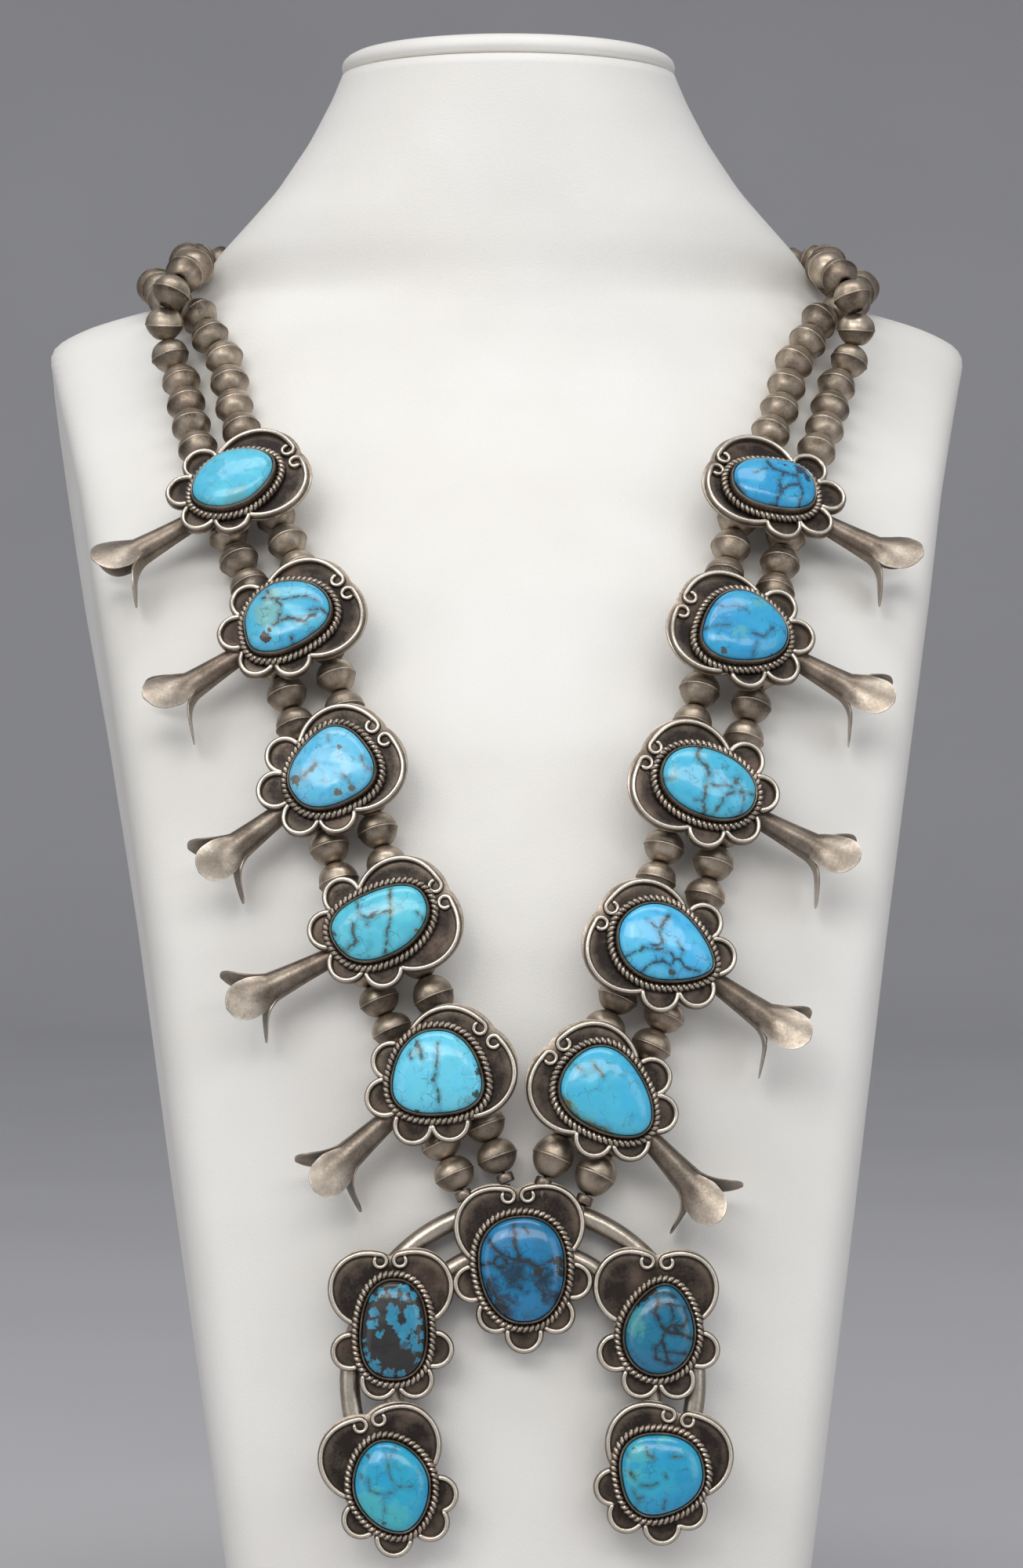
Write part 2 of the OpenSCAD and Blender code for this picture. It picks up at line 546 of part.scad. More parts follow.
// Plain clasp: an upright end plate for each side's two threads and a rod between the plates
clasp_t = 2;
clasp_w = 4;
clasp_waist = 0.8;
clasp_rod_r = 1;
module clasp() color(silver) {
    for (side = [-1, 1]) {
        a = at_length(strand(side, 1), 0);
        b = at_length(strand(side, -1), 0);
        difference() {
            union() {
                translate((a + b) / 2) rotate([-atan2(a[1] - b[1], a[2] - b[2]), 0, 0])
                    cube([clasp_t, clasp_w * clasp_waist, norm(a - b)], center = true);
                for (p = [a, b]) translate(p) rotate([0, 90, 0])
                    cylinder(r = clasp_w / 2, h = clasp_t, center = true, $fn = 32);
            }
            for (layer = [-1, 1]) {
                st = strand(side, layer);
                point_along(at_length(st, 0), heading(st, 0))
                    cylinder(r = thread_d / 2 + thread_gap, h = clasp_t * 3, center = true, $fn = 32);
            }
        }
    }
    p = row_point(nape_route[0], -1);
    translate(p) rotate([0, 90, 0]) cylinder(r = clasp_rod_r, h = -2 * p[0], $fn = 24);
}

module bust_body() color(bust_color) skin([for (s = bust_sections) ring_at(s)]);

module neck_cap() color(bust_color)
    translate([0, neck_y + back_shift, bust_h - cap_t])
        rotate_extrude($fn = 64)
            polygon([[0, 0], [cap_r - 0.12 * cap_t, 0], [cap_r, 0.16 * cap_t], [cap_r, 0.5 * cap_t],
                [cap_r - 0.24 * cap_t, 0.84 * cap_t], [cap_r - cap_t, cap_t], [0, cap_t]]);

translate([0, -set_back, 0]) {
    bust_body();
    neck_cap();
    naja();
    clasp();
    for (k = [0 : 9]) {
        blossom(k);
        on_blossom(k) stone(blossoms[k][STONE]);
    }
    for (k = [0 : 4]) on_naja() at_setting(naja_settings[k]) stone(naja_settings[k][STONE]);
    for (k = [0 : 3]) {
        side = k < 2 ? -1 : 1;
        layer = k % 2 == 0 ? 1 : -1;
        bead_strand(side, layer);
        thread_strand(side, layer);
    }
}
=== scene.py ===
import math
import random

import bmesh
import bpy
import numpy as np
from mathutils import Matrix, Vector, noise


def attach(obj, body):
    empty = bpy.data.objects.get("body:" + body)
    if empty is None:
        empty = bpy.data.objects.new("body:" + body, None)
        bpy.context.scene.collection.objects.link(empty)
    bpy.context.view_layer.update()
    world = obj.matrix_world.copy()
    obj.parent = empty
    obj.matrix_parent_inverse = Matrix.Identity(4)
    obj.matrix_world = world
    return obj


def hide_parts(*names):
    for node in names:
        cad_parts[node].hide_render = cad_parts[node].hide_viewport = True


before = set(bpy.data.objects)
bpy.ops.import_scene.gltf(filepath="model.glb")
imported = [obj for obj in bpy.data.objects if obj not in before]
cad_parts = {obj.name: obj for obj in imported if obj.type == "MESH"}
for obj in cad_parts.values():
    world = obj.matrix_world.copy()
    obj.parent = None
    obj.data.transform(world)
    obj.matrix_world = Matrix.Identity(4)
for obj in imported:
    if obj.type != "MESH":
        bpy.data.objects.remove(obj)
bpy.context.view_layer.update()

MM = 0.001
# Sizes in mm as in the part's source, from which the whole model stands this much further forward
SET_BACK = 9.5
BUST_W, BUST_D, BUST_H, EDGE_R = 115.0, 140.0, 395.0, 7.0
CAP_R, CAP_T, CAP_Y = 41.0, 5.0, 52.94
BEAD_D = 9.4
PLATE_T, WIRE_W, WIRE_H = 1.0, 1.4, 1.0
BEZEL_T, BEZEL_H, ROPE_D, DOME_H, STONE_GAP = 0.5, 3.2, 1.5, 2.4, 0.12
PLATE_LIFT, TUBE_LEN, TUBE_R = 5.6, 5.6, 1.9
TRUMPET_LEN, TRUMPET_ROOT, NECK_R, SHEET_T = 25.5, 11.2, 2.1, 0.5
# Where the trumpet's tube splits, as a share of its length, and how far its root reaches in
SPLIT, ROOT_BACK = 0.6, 2.2
OUTER_BAR_R, INNER_BAR_R, BAR_D, MOUTH_HALF = 37.8, 28.5, 4.4, 52
# Small curls: radius, distance, angle from the lobe's wire and how far round they go
CURL_R, CURLS_APART, CURL_MEETS, CURL_ROUND = 1.4, 4.4, 16, 292
# Share of its width at a wire's end, and the step along a wire
WIRE_END, WIRE_STEP = 0.7, 0.3
ROPE_OUT, ROPE_WIDE, ROPE_PITCH = 1.45, 1.85, 1.34
# Points round a stone and round a plate, rings of a dome, steps along a trumpet's tube and a petal
STONE_POINTS, PLATE_POINTS, DOME_RINGS, TUBE_STEPS, PETAL_STEPS = 120, 300, 44, 16, 24
# Radii of the holes in the loops of the blossoms and of the naja, and of the posts behind the naja
BLOSSOM_HOLE, NAJA_HOLE, POST_R = 1.1, 0.7, 0.9
# Middle-to-middle distance within which two beads are neighbours, the gap between those, and the depth
# behind which the strands run round the nape
NEXT_BEAD, BEAD_GAP, NAPE_FROM = 10.5, 0.35, 20
# The floor's half width, where it starts to bend up, the bend's radius and the wall's top, in m
FLOOR_HALF, WALL_FROM, WALL_BEND, WALL_TOP = 12.0, 2.9, 1.2, 3.6

# The camera: place in m, turn in degrees and focal length in mm
CAMERA_AT, CAMERA_TURN, LENS = (-0.028, -1.0945, 0.216), -1.447, 106.2

# The bust's sections in thousandths of its sizes, as in the part's source: height, front, half width in
# front, front edge, half width behind, back edge, back, roundness
SECTIONS = [
    [0, -557, 517, -471, 583, 443, 443, 0],
    [152, -536, 587, -443, 661, 486, 486, 0],
    [304, -493, 657, -386, 739, 536, 536, 0],
    [456, -421, 728, -307, 813, 593, 593, 0],
    [570, -329, 791, -200, 878, 636, 636, 0],
    [658, -214, 846, -71, 935, 671, 671, 0],
    [722, -100, 891, 86, 970, 693, 693, 0],
    [767, -7, 935, 229, 991, 700, 700, 0],
    [795, 36, 965, 329, 1000, 671, 700, 100],
    [813, 57, 987, 400, 998, 600, 697, 200],
    [823, 64, 974, 443, 978, 543, 693, 300],
    [833, 71, 904, 443, 904, 500, 690, 300],
    [842, 75, 783, 421, 783, 471, 686, 300],
    [847, 76, 705, 407, 705, 450, 685, 400],
    [857, 79, 668, 393, 668, 421, 682, 500],
    [876, 79, 620, 379, 620, 386, 679, 800],
    [894, 81, 561, 371, 561, 371, 675, 1000],
    [914, 81, 500, 371, 500, 371, 669, 1000],
    [944, 82, 430, 371, 430, 371, 664, 1000],
    [970, 82, 383, 371, 383, 371, 662, 1000],
    [986, 81, 360, 371, 360, 371, 661, 1000],
]

# Rows of the strands' route next to the blossoms: across, y, z, swing, lean, roll, half spacing
LEFT_ROUTE = [
    [70.1, 3.7, 299.9, 20, 36, 1, 5.5],
    [63, -14, 280.6, 17, 34, 1, 5.8],
    [50.8, -34.8, 251.1, 13, 25, 2, 6],
    [41, -50, 217.5, 11, 16, 0, 5.7],
    [30.8, -61.2, 182.5, 8, 12, 1, 5.7],
    [18.2, -67.8, 151.9, 6, 9, 0, 5.6],
    [8.3, -72.4, 127.8, 0, 7, 0, 4.9],
]
RIGHT_ROUTE = [
    [67.1, 2.5, 299.4, 20, 36, 1, 5.8],
    [58.3, -15.1, 280.4, 17, 34, 2, 5.9],
    [50.1, -36.1, 249.3, 13, 25, 2, 6.1],
    [41.1, -51.3, 213.6, 11, 16, 1, 6],
    [31.3, -61.7, 179.4, 8, 12, 0, 5.6],
    [18, -68.5, 147.9, 6, 9, 0, 5.4],
    [9, -72.7, 126.8, 0, 7, -1, 4.9],
]
# Blossoms: curl angle, trumpet angle, stone, middle of the plate. A stone is length, width, turn,
# narrowing, squareness, three-cornered share and its direction, middle
BLOSSOMS = {
    "l1": [35.6, 37.5, [19.9, 15.7, 31.5, 0.03, 1.83, 0, 0, [0, 0.6]], [1, 0.5]],
    "l2": [40, 37, [20, 16.4, 35.9, -0.3, 2.07, -0.09, 143.5, [-0.3, -1.8]], [1.6, -1.7]],
    "l3": [44.1, 39.5, [19, 16.5, 218.8, 0.2, 2.46, 0, 0, [0.3, -1]], [0.6, -1.3]],
    "l4": [31.9, 27.5, [21.7, 14.3, 25.4, -0.07, 2.29, -0.05, 217.6, [0.6, 1.1]], [2, 0.8]],
    "l5": [45.8, 43, [18.1, 18.8, 273.2, -0.23, 2.41, 0, 0, [0.3, -0.1]], [1.4, -1.5]],
    "r1": [33.2, 34.5, [19.7, 13.8, 7.2, 0.06, 2.43, 0, 0, [1.5, -0.7]], [1, -0.9]],
    "r2": [31.5, 32.5, [20.1, 17.5, 166.7, -0.13, 1.94, 0.06, 91.7, [2, -2.4]], [2, -2.5]],
    "r3": [33.7, 30, [21.7, 15.1, 22, -0.03, 2.15, 0, 0, [1.1, 0]], [2, -0.4]],
    "r4": [34.7, 36.5, [22.3, 16.2, 206.8, 0.27, 1.8, 0, 0, [0.9, -0.8]], [2.4, -1.4]],
    "r5": [46, 48, [21.9, 16.3, 42.7, -0.28, 2.15, 0, 0, [0.2, -1.2]], [1.7, -1]],
}
# Plate: lobe radius, how far out and half angle, scallop radius, disc radius, how far out the curls are
BLOSSOM_PLATE = [10.8, 6.2, 26, 4.6, 10.8, 13.7]
BLOSSOM_SCALLOPS = [[115, 12], [152, 13.2], [192, 11.8], [235, 9.4]]
# Settings of the naja: place, direction of the curls, stone, plate, scallops
NAJA = {
    "top": [[-0.4, 26.5], 93, [22.6, 18.1, 274.4, 0.1, 2.24, 0, 0, [0.3, -2.8]],
        [9.4, 8.6, 36, 4.3, 10, 13.4],
        [[115, 12.1], [152.6, 13.6], [179, 16.7], [208, 14.6], [242.4, 12.5]]],
    "left_upper": [[-28.6, 12.8], 91.8, [21, 13.8, 268.8, -0.07, 2.4, 0, 0, [0.4, -1.9]],
        [8.7, 8.7, 36, 4.3, 9, 13],
        [[124.3, 11.3], [166, 13.3], [199.5, 13.7], [234.3, 11.2]]],
    "right_upper": [[28.7, 12.2], 87.5, [19.3, 14.8, 259.9, -0.17, 1.9, 0, 0, [1.1, -1.5]],
        [8.7, 9.2, 34, 4.3, 9, 13.2],
        [[130, 10.6], [168, 12.7], [203, 13.3], [242, 11.6]]],
    "left_lower": [[-29.2, -21.4], 109.2, [19.8, 16, 286.6, 0.03, 1.8, 0, 0, [0.6, -1.5]],
        [9.5, 7.6, 34, 4.3, 10, 13],
        [[125.3, 10.5], [165.5, 12.6], [204.8, 12.8], [234, 11.3]]],
    "right_lower": [[30.3, -20.3], 74.3, [17.5, 16.9, 9.7, 0.15, 2.38, 0, 0, [-0.3, 0]],
        [9.5, 7.05, 42, 4.3, 10, 12.4],
        [[120.7, 11.3], [153, 11.8], [194, 11.3], [229.3, 9.7]]],
}
# What each stone shows, in tenths of a mm from its middle: cracks as half width and points of the route,
# then spots of matrix, tinted patches and shaded patches as place and radius
STONE_MARKS = {
    "l1": (
        [(1.5, (65, -55), (78, -36), (91, -14))],
        [(-57, -87, 5), (-12, -95, 3), (89, -24, 4)],
        [(28, -68, 27)], []),
    "l2": (
        [(3.2, (5, -19), (20, -13), (38, -16), (57, -21), (68, -8), (80, -4)), (1.2, (1, 18), (-1, -7),
         (-1, -27), (-14, -34)), (1, (-45, 38), (-17, 35), (6, 32), (28, 37), (55, 42), (83, 31)),
         (2, (30, -60), (37, -77)), (1.2, (-38, 58), (-27, 43), (1, 18)), (1.4, (68, 7), (90, 12),
         (109, 2))],
        [(-27, -60, 12), (-21, -45, 6), (91, -46, 4)],
        [(-30, 3, 33), (-22, 43, 20), (-19, -26, 18)], []),
    "l3": (
        [(2.2, (-83, -25), (-65, -31), (-39, -8), (-25, 7)), (1.2, (36, -16), (51, -34), (58, -48)),
         (1.4, (74, 28), (81, 6), (94, -5)), (1.2, (-5, 79), (0, 61))],
        [(-71, -27, 8), (-40, -7, 6), (25, -58, 8), (56, -47, 6), (26, 46, 3), (-29, 43, 3), (90, -2, 4),
         (-64, -43, 5)],
        [(-61, -21, 22)], []),
    "l4": (
        [(1.6, (-49, 46), (-44, 30), (-42, 18), (-30, 7), (-20, 4), (-14, 12), (0, 21)), (1, (-20, 4),
         (-22, -12)), (2.2, (-53, -7), (-54, -25), (-46, -42), (-51, -52), (-63, -58), (-73, -67)),
         (1.6, (25, 71), (27, 45), (29, 19), (28, -4), (22, -20), (22, -42), (16, -70)), (1.4, (-46, -42),
         (-39, -46)), (1.2, (85, 21), (94, 15), (101, 5)), (1.4, (-101, -25), (-94, -30)), (0.8, (-20, 4),
         (12, 19), (27, 23))],
        [(85, -18, 3)],
        [(30, 23, 12), (29, 47, 6)], []),
    "l5": (
        [(1.7, (4, 61), (3, 35), (2, 18), (2, -3), (-3, -19), (2, -33), (8, -50), (8, -71), (6, -85)),
         (2, (-41, 65), (-33, 44), (-31, 25)), (1.2, (-58, 42), (-55, 27))],
        [(-42, 58, 4), (93, -2, 5), (89, -50, 6), (-43, -88, 4), (-3, -21, 2)],
        [(-42, 44, 12), (76, -67, 13)], []),
    "r1": (
        [(2.8, (15, 48), (8, 23), (-19, 13), (-50, 5), (-51, -18)), (2.4, (-19, 13), (-2, -13), (1, -41),
         (14, -64), (36, -75)), (2.6, (-51, -18), (-24, -24), (-6, -36), (3, -50)), (2.4, (-51, -18),
         (-54, -40), (-45, -62), (-44, -79)), (2, (103, 1), (91, -22), (86, -44)), (1.6, (55, 11),
         (23, 23))],
        [(-62, 27, 12), (-76, 3, 9), (16, -69, 5), (-28, 36, 5)], [], []),
    "r2": (
        [(2, (91, -7), (68, -6), (38, -6)), (2, (-13, -25), (-38, -35), (-65, -9)), (1, (61, 53), (44, 41),
         (16, 44), (-6, 31)), (1.6, (-10, -74), (-20, -49))],
        [(55, -65, 4), (-58, -68, 3)],
        [(-44, 57, 17), (14, -21, 15), (0, 59, 9)], []),
    "r3": (
        [(2.6, (20, 79), (29, 60), (25, 42), (11, 32), (6, 15), (11, -4), (17, -26), (21, -53), (19, -77)),
         (1.5, (8, -9), (-11, -13), (-38, -13), (-56, -23), (-74, -31), (-101, -30)), (1.3, (-56, -24),
         (-27, -37), (-17, -54), (-2, -72)), (1.2, (-74, -31), (-71, -53), (-65, -71), (-50, -81)),
         (2, (-52, 5), (-59, -6)), (2, (-61, 5), (-53, -8)), (1.2, (40, -44), (21, -48)), (1.4, (109, 2),
         (89, 10))],
        [(18, 74, 4), (-56, -1, 3), (106, 5, 4)],
        [(85, 17, 12), (17, 64, 8)], []),
    "r4": (
        [(3, (-2, 63), (11, 44), (21, 31), (19, 13), (15, 2), (27, -4), (40, -4)), (1.6, (60, -8),
         (36, -13), (14, -13), (-3, -22), (-11, -35), (-2, -48), (-7, -65)), (1.3, (-21, 1), (-31, -17),
         (-22, -35), (-30, -52), (-50, -57), (-68, -61)), (1, (-11, -35), (-22, -35)), (2, (60, -58),
         (41, -43), (15, -39), (-2, -48)), (1, (97, -26), (75, -17), (58, -13)), (1.2, (46, 54), (21, 31))],
        [(-4, -62, 4)],
        [(10, 50, 10), (25, -11, 8)], []),
    "r5": (
        [(1, (39, 71), (26, 53), (17, 38)), (0.8, (74, 63), (56, 45)), (2, (101, -5), (93, -23), (80, -40),
         (62, -56), (33, -66), (4, -79))],
        [(95, -14, 5), (98, -26, 4)],
        [(88, -27, 13), (51, -61, 13), (12, -78, 11)], []),
    "top": (
        [(3.4, (-20, 97), (-17, 76), (-20, 59), (-11, 37), (-7, 18)), (2.8, (-76, 68), (-63, 46), (-46, 33),
         (-24, 23), (-7, 18)), (3.4, (-7, 18), (14, 18), (28, 7), (48, 11), (65, 24)), (2.4, (-58, 27),
         (-65, 14), (-54, 4), (-37, 5), (-34, 18), (-46, 27), (-58, 27)), (2.6, (-93, 11), (-65, 15)),
         (2.4, (-35, 12), (-7, 18)), (1.6, (2, 92), (11, 80)), (2, (-75, -22), (-59, -60), (-31, -75)),
         (1.6, (33, -43), (65, -60), (78, -52))],
        [(79, 18, 13), (81, -3, 11), (36, -6, 10), (-44, -78, 8), (-59, -64, 6)], [],
        [(-20, -18, 29), (-67, -45, 20), (48, -22, 25), (-42, -81, 25), (61, -58, 18)]),
    "left_upper": (
        [],
        [(0, 42, 12), (-4, 24, 11), (39, 35, 15), (40, 14, 13), (23, -5, 15), (9, 4, 9), (-44, 37, 11),
         (-47, 12, 8), (23, 68, 6), (24, -32, 9), (45, -22, 9), (53, -39, 10), (44, -52, 7), (-43, -77, 9),
         (-35, -85, 6), (-9, -96, 10), (16, -96, 6), (-64, -45, 5), (-58, -58, 5), (-30, 81, 7),
         (-49, 69, 7), (44, 73, 9), (23, 86, 10), (-29, -11, 6), (57, 14, 6), (-64, -24, 4), (63, -12, 5),
         (53, -67, 5), (0, 77, 8)],
        [(0, -56, 38), (-26, -43, 24), (25, -66, 24)], []),
    "right_upper": (
        [(3, (-11, 81), (-6, 54), (-13, 36), (-3, 16), (7, -2)), (2.2, (-6, 54), (19, 54), (50, 49)),
         (2.2, (23, 52), (27, 24), (19, 6), (7, -2)), (2, (51, 47), (57, 20), (48, 6), (27, 11)),
         (3.4, (27, 11), (40, -10), (67, -19)), (3, (7, -2), (31, -10)), (2.4, (7, -2), (2, -27),
         (-16, -39)), (2.4, (2, -27), (11, -48), (57, -53)), (1.8, (11, -48), (14, -74)), (2, (-12, -40),
         (-11, -62), (14, -74), (48, -71)), (2, (6, 79), (32, 71))],
        [(-36, 75, 15), (-53, 60, 10), (-15, 81, 8), (36, -10, 4)],
        [(-44, 37, 9), (-54, 7, 22), (-62, 33, 11)], []),
    "left_lower": (
        [(1.3, (-51, 17), (-48, -7), (-35, -13), (-13, -16), (4, -10), (9, 3)), (0.7, (9, 3), (25, -1),
         (42, 1)), (1, (-8, 49), (-5, 26), (4, 10), (9, 3)), (0.8, (-13, 68), (-7, 47)), (0.6, (9, 86),
         (-4, 64)), (1, (-69, 27), (-59, 13)), (0.6, (-18, -16), (-15, -53))],
        [(-54, 68, 3), (-15, -77, 2)],
        [(-43, -41, 40), (8, -62, 31), (-9, 49, 6)], []),
    "right_lower": (
        [(1.4, (-35, 57), (-33, 41), (-19, 34)), (1, (-46, -24), (-27, -26), (-13, -19)), (1.3, (-71, 7),
         (-60, -12)), (1.2, (2, -1), (7, -8)), (0.8, (-65, -36), (-56, -53), (-42, -49)), (0.9, (4, -57),
         (1, -75)), (0.8, (-56, -61), (-59, -75)), (0.7, (16, 36), (40, 36)), (0.8, (-79, 46), (-75, 39))],
        [(-69, 1, 3), (-64, 54, 2)],
        [(-52, 44, 27), (-65, -3, 22), (4, 77, 13)], []),
}
# A word for the stone's kind, which nothing reads, two tones, colour of the cracks, of the matrix and of the
# tinted patches
COLOURS = {
    "l1": ("sky", "#5cc6df", "#50b9d9", "#4d6a66", "#5a4a3c", "#62a9b0"),
    "l2": ("deep", "#40abd4", "#58bcd8", "#3a2a22", "#3a2c22", "#7fb0a0"),
    "l3": ("sky", "#56bae2", "#6cc4e6", "#5f6a68", "#6c6250", "#86b4cc"),
    "l4": ("sky", "#5ecadf", "#52bdd5", "#33423e", "#7d7850", "#7fae9a"),
    "l5": ("sky", "#60cae8", "#68cee6", "#2f5056", "#3a3630", "#5f9fa8"),
    "r1": ("deep", "#2496cc", "#3ba8d4", "#15384e", "#1d3442", "#2a82a8"),
    "r2": ("deep", "#2598cc", "#34a5d2", "#265068", "#5a5044", "#5fb2b4"),
    "r3": ("sky", "#44b4d8", "#50bcda", "#3c4644", "#5a4c3a", "#7fb4c0"),
    "r4": ("sky", "#46b6ea", "#54c0e6", "#1f3c48", "#4c4a3c", "#6f9cb0"),
    "r5": ("sky", "#3eb2da", "#48b8d6", "#4a5a44", "#6a5c36", "#69a98e"),
    "top": ("matrix", "#0678ac", "#0a6c96", "#06141d", "#1f1b18", "#2a7fa0"),
    "left_upper": ("matrix", "#2f8fb0", "#277f9e", "#141312", "#1f1a18", "#3a2c26"),
    "right_upper": ("matrix", "#0c6c92", "#10708e", "#060e14", "#171617", "#4a9a98"),
    "left_lower": ("green", "#1299c8", "#24a3c2", "#2c6070", "#4a4434", "#45b4b8"),
    "right_lower": ("green", "#1394c2", "#229fc0", "#2c5054", "#3c342a", "#4cb0b0"),
}
# The stone whose spots are the turquoise in a dark matrix
CELLED = "left_upper"
NAJA_CENTER, NAJA_LEAN = np.array([0, -75.5, 86]), 7
# A direction that no axis here is near, to start a round section from
ASKEW = [0.31, 0.52, 0.8]


def unit(v):
    v = np.asarray(v, float)
    return v / np.linalg.norm(v, axis=-1, keepdims=True)


def polar(degrees, r):
    a = np.radians(degrees)
    return np.stack([r * np.cos(a), r * np.sin(a)], -1)


def smooth_step(x):
    x = np.clip(x, 0, 1)
    return x * x * (3 - 2 * x)


def circle(count):
    return 2 * math.pi * np.arange(count) / count


def travelled(path):
    """Length along a path up to each of its points."""
    return np.concatenate([[0], np.cumsum(np.linalg.norm(np.diff(path, axis=0), axis=1))])


def loop_tangent(path):
    return unit(np.roll(path, -1, 0) - np.roll(path, 1, 0))


def sideways(tangent):
    """The flat direction to the right of each tangent."""
    return np.stack([tangent[:, 1], -tangent[:, 0], np.zeros(len(tangent))], 1)


# Meshes

def linked(name, data):
    obj = bpy.data.objects.new(name, data)
    bpy.context.scene.collection.objects.link(obj)
    return obj


class Piece:
    """Vertices, faces and wear of one piece, with painted light and shade on the beads, gathered part by
    part in mm.
    """

    def __init__(self):
        self.points, self.faces, self.worn, self.count = [], [], [], 0

    def grid(self, points, worn=0.5, closed=False, caps=True):
        """Rings of points, (rings, points in a ring, 3), joined one to the next."""
        m, n = points.shape[:2]
        i = np.arange(m if closed else m - 1)[:, None]
        j = np.arange(n)[None, :]
        a, b = i * n + j, (i + 1) % m * n + j
        c, d = (i + 1) % m * n + (j + 1) % n, i * n + (j + 1) % n
        faces = np.stack([a, b, c, d], -1).reshape(-1, 4).tolist()
        if caps and not closed:
            faces += [list(range(n)), list(range((m - 1) * n, m * n))[::-1]]
        self.points.append(points.reshape(-1, 3))
        self.worn.append(np.broadcast_to(np.ravel(worn).astype(float), m * n))
        self.faces += [[k + self.count for k in f] for f in faces]
        self.count += m * n

    def layers(self, levels, caps=True):
        """Rings of flat points at a height, each with its wear."""
        rings = [np.column_stack([flat, np.full(len(flat), z)]) for flat, z, wear_and_light in levels]
        self.grid(np.array(rings), np.repeat([wear_and_light for flat, z, wear_and_light in levels], len(rings[0])), caps=caps)

    def placed(self, place):
        """The same parts after a change of place."""
        self.points = [place(p) for p in self.points]
        return self

    def take(self, other):
        """Add the parts of another piece."""
        self.points += other.points
        self.worn += other.worn
        self.faces += [[k + self.count for k in f] for f in other.faces]
        self.count += other.count

    def make(self, name, material, sharp=50):
        """The finished object, with creases where faces meet at more than this angle."""
        points = np.concatenate(self.points)
        points[:, 1] -= SET_BACK
        mesh = bpy.data.meshes.new(name)
        mesh.from_pydata((points * MM).tolist(), [], self.faces)
        # The wear as an attribute, holding on the beads also their painted light and shade
        worn = mesh.attributes.new("worn", "FLOAT", "POINT")
        worn.data.foreach_set("value", np.concatenate(self.worn).astype(np.float32))
        bm = bmesh.new()
        bm.from_mesh(mesh)
        bmesh.ops.recalc_face_normals(bm, faces=bm.faces)
        bm.to_mesh(mesh)
        bm.free()
        mesh.polygons.foreach_set("use_smooth", [True] * len(mesh.polygons))
        if sharp:
            mesh.set_sharp_from_angle(angle=math.radians(sharp))
        mesh.materials.append(material)
        obj = linked(name, mesh)
        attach(obj, "root")
        return obj


def half_round(width, height):
    """Section of a half-round wire, flat side down, and its wear."""
    a = np.linspace(0, math.pi, 7)
    section = np.stack([-np.cos(a) * width / 2, np.sin(a) ** 0.8 * height], 1)
    foot = [[width / 2, -0.3], [-width / 2, -0.3]]
    return np.vstack([section, foot]), np.append(0.25 + 0.75 * np.sin(a) ** 2, [0.1, 0.1])


def sweep(piece, path, section, worn, scale):
    """A section, across and up, drawn along a path in the local plane."""
    tangent = np.gradient(path, axis=0)
    tangent[:, 2] = 0
    side, scale = sideways(unit(tangent)), scale[:, None, None]
    up = np.array([0, 0, 1.0])
    points = (path[:, None, :] + side[:, None, :] * section[None, :, :1] * scale
              + up * section[None, :, 1:2] * scale)
    piece.grid(points, np.tile(worn, len(path)))


def resample(path, step, closed=False):
    """The path in even steps of about this length, and its whole length."""
    path = np.asarray(path, float)
    if closed:
        path = np.vstack([path, path[:1]])
    length = travelled(path)
    at = np.linspace(0, length[-1], max(3, int(round(length[-1] / step))) + 1)
    if closed:
        at = at[:-1]
    return np.stack([np.interp(at, length, path[:, k]) for k in range(path.shape[1])], 1), length[-1]


def stone_outline(stone, grow=0.0):
    length, width, turn, narrow, square, three, three_at, middle = stone
    a = np.radians(360 * (np.arange(STONE_POINTS) + 0.5) / STONE_POINTS)
    x = np.sign(np.cos(a)) * np.abs(np.cos(a)) ** (2 / square)
    y = np.sign(np.sin(a)) * np.abs(np.sin(a)) ** (2 / square)
    k = 1 + three * np.cos(3 * a - math.radians(three_at))
    p = turned(np.stack([x * length / 2, y * width / 2 * (1 - narrow * x)], 1) * k[:, None], turn)
    return p + sideways(loop_tangent(p))[:, :2] * grow + np.array(middle)


def inside(points, stone, grow):
    """Whether flat points lie within a stone's outline grown by this much."""
    x, y = points[:, :1], points[:, 1:]
    a = stone_outline(stone, grow)
    b = np.roll(a, -1, 0)
    crosses = (a[:, 1] > y) != (b[:, 1] > y)
    at = a[:, 0] + (y - a[:, 1]) / (b[:, 1] - a[:, 1] + 1e-12) * (b[:, 0] - a[:, 0])
    return (crosses & (x < at)).sum(1) % 2 == 1


def rope_ring(piece, path, thick, z):
    """Two wires twisted round each other along a closed path."""
    path, length = resample(path, thick / 9, closed=True)
    turns, n = round(length / (ROPE_PITCH * thick)), len(path)
    side = sideways(loop_tangent(path))
    centre = np.column_stack([path, np.full(n, z)])
    up, f = np.array([0, 0, 1.0]), circle(7)
    for k in (0, 1):
        a = 2 * math.pi * turns * np.arange(n) / n + k * math.pi
        out = np.cos(a)[:, None] * side + np.sin(a)[:, None] * up
        line = centre + out * thick * 0.25
        across = np.cross(loop_tangent(line), out)
        ring = np.cos(f)[None, :, None] * out[:, None, :] + np.sin(f)[None, :, None] * across[:, None, :]
        points = line[:, None, :] + ring * thick * 0.29
        rise = (points[..., 2] - z) / thick
        worn = np.clip(0.02 + 0.34 * np.cos(f)[None, :] + 0.72 * rise, 0, 1)
        piece.grid(points, worn, closed=True)


def plate_discs(plate, scallops):
    """Middle and radius of the two lobes and of each scallop."""
    lobe_r, lobe_out, lobe_half, scallop_r = plate[:4]
    return ([(polar(a * lobe_half, lobe_out), lobe_r) for a in (-1, 1)]
            + [(polar(*s), scallop_r) for s in scallops])


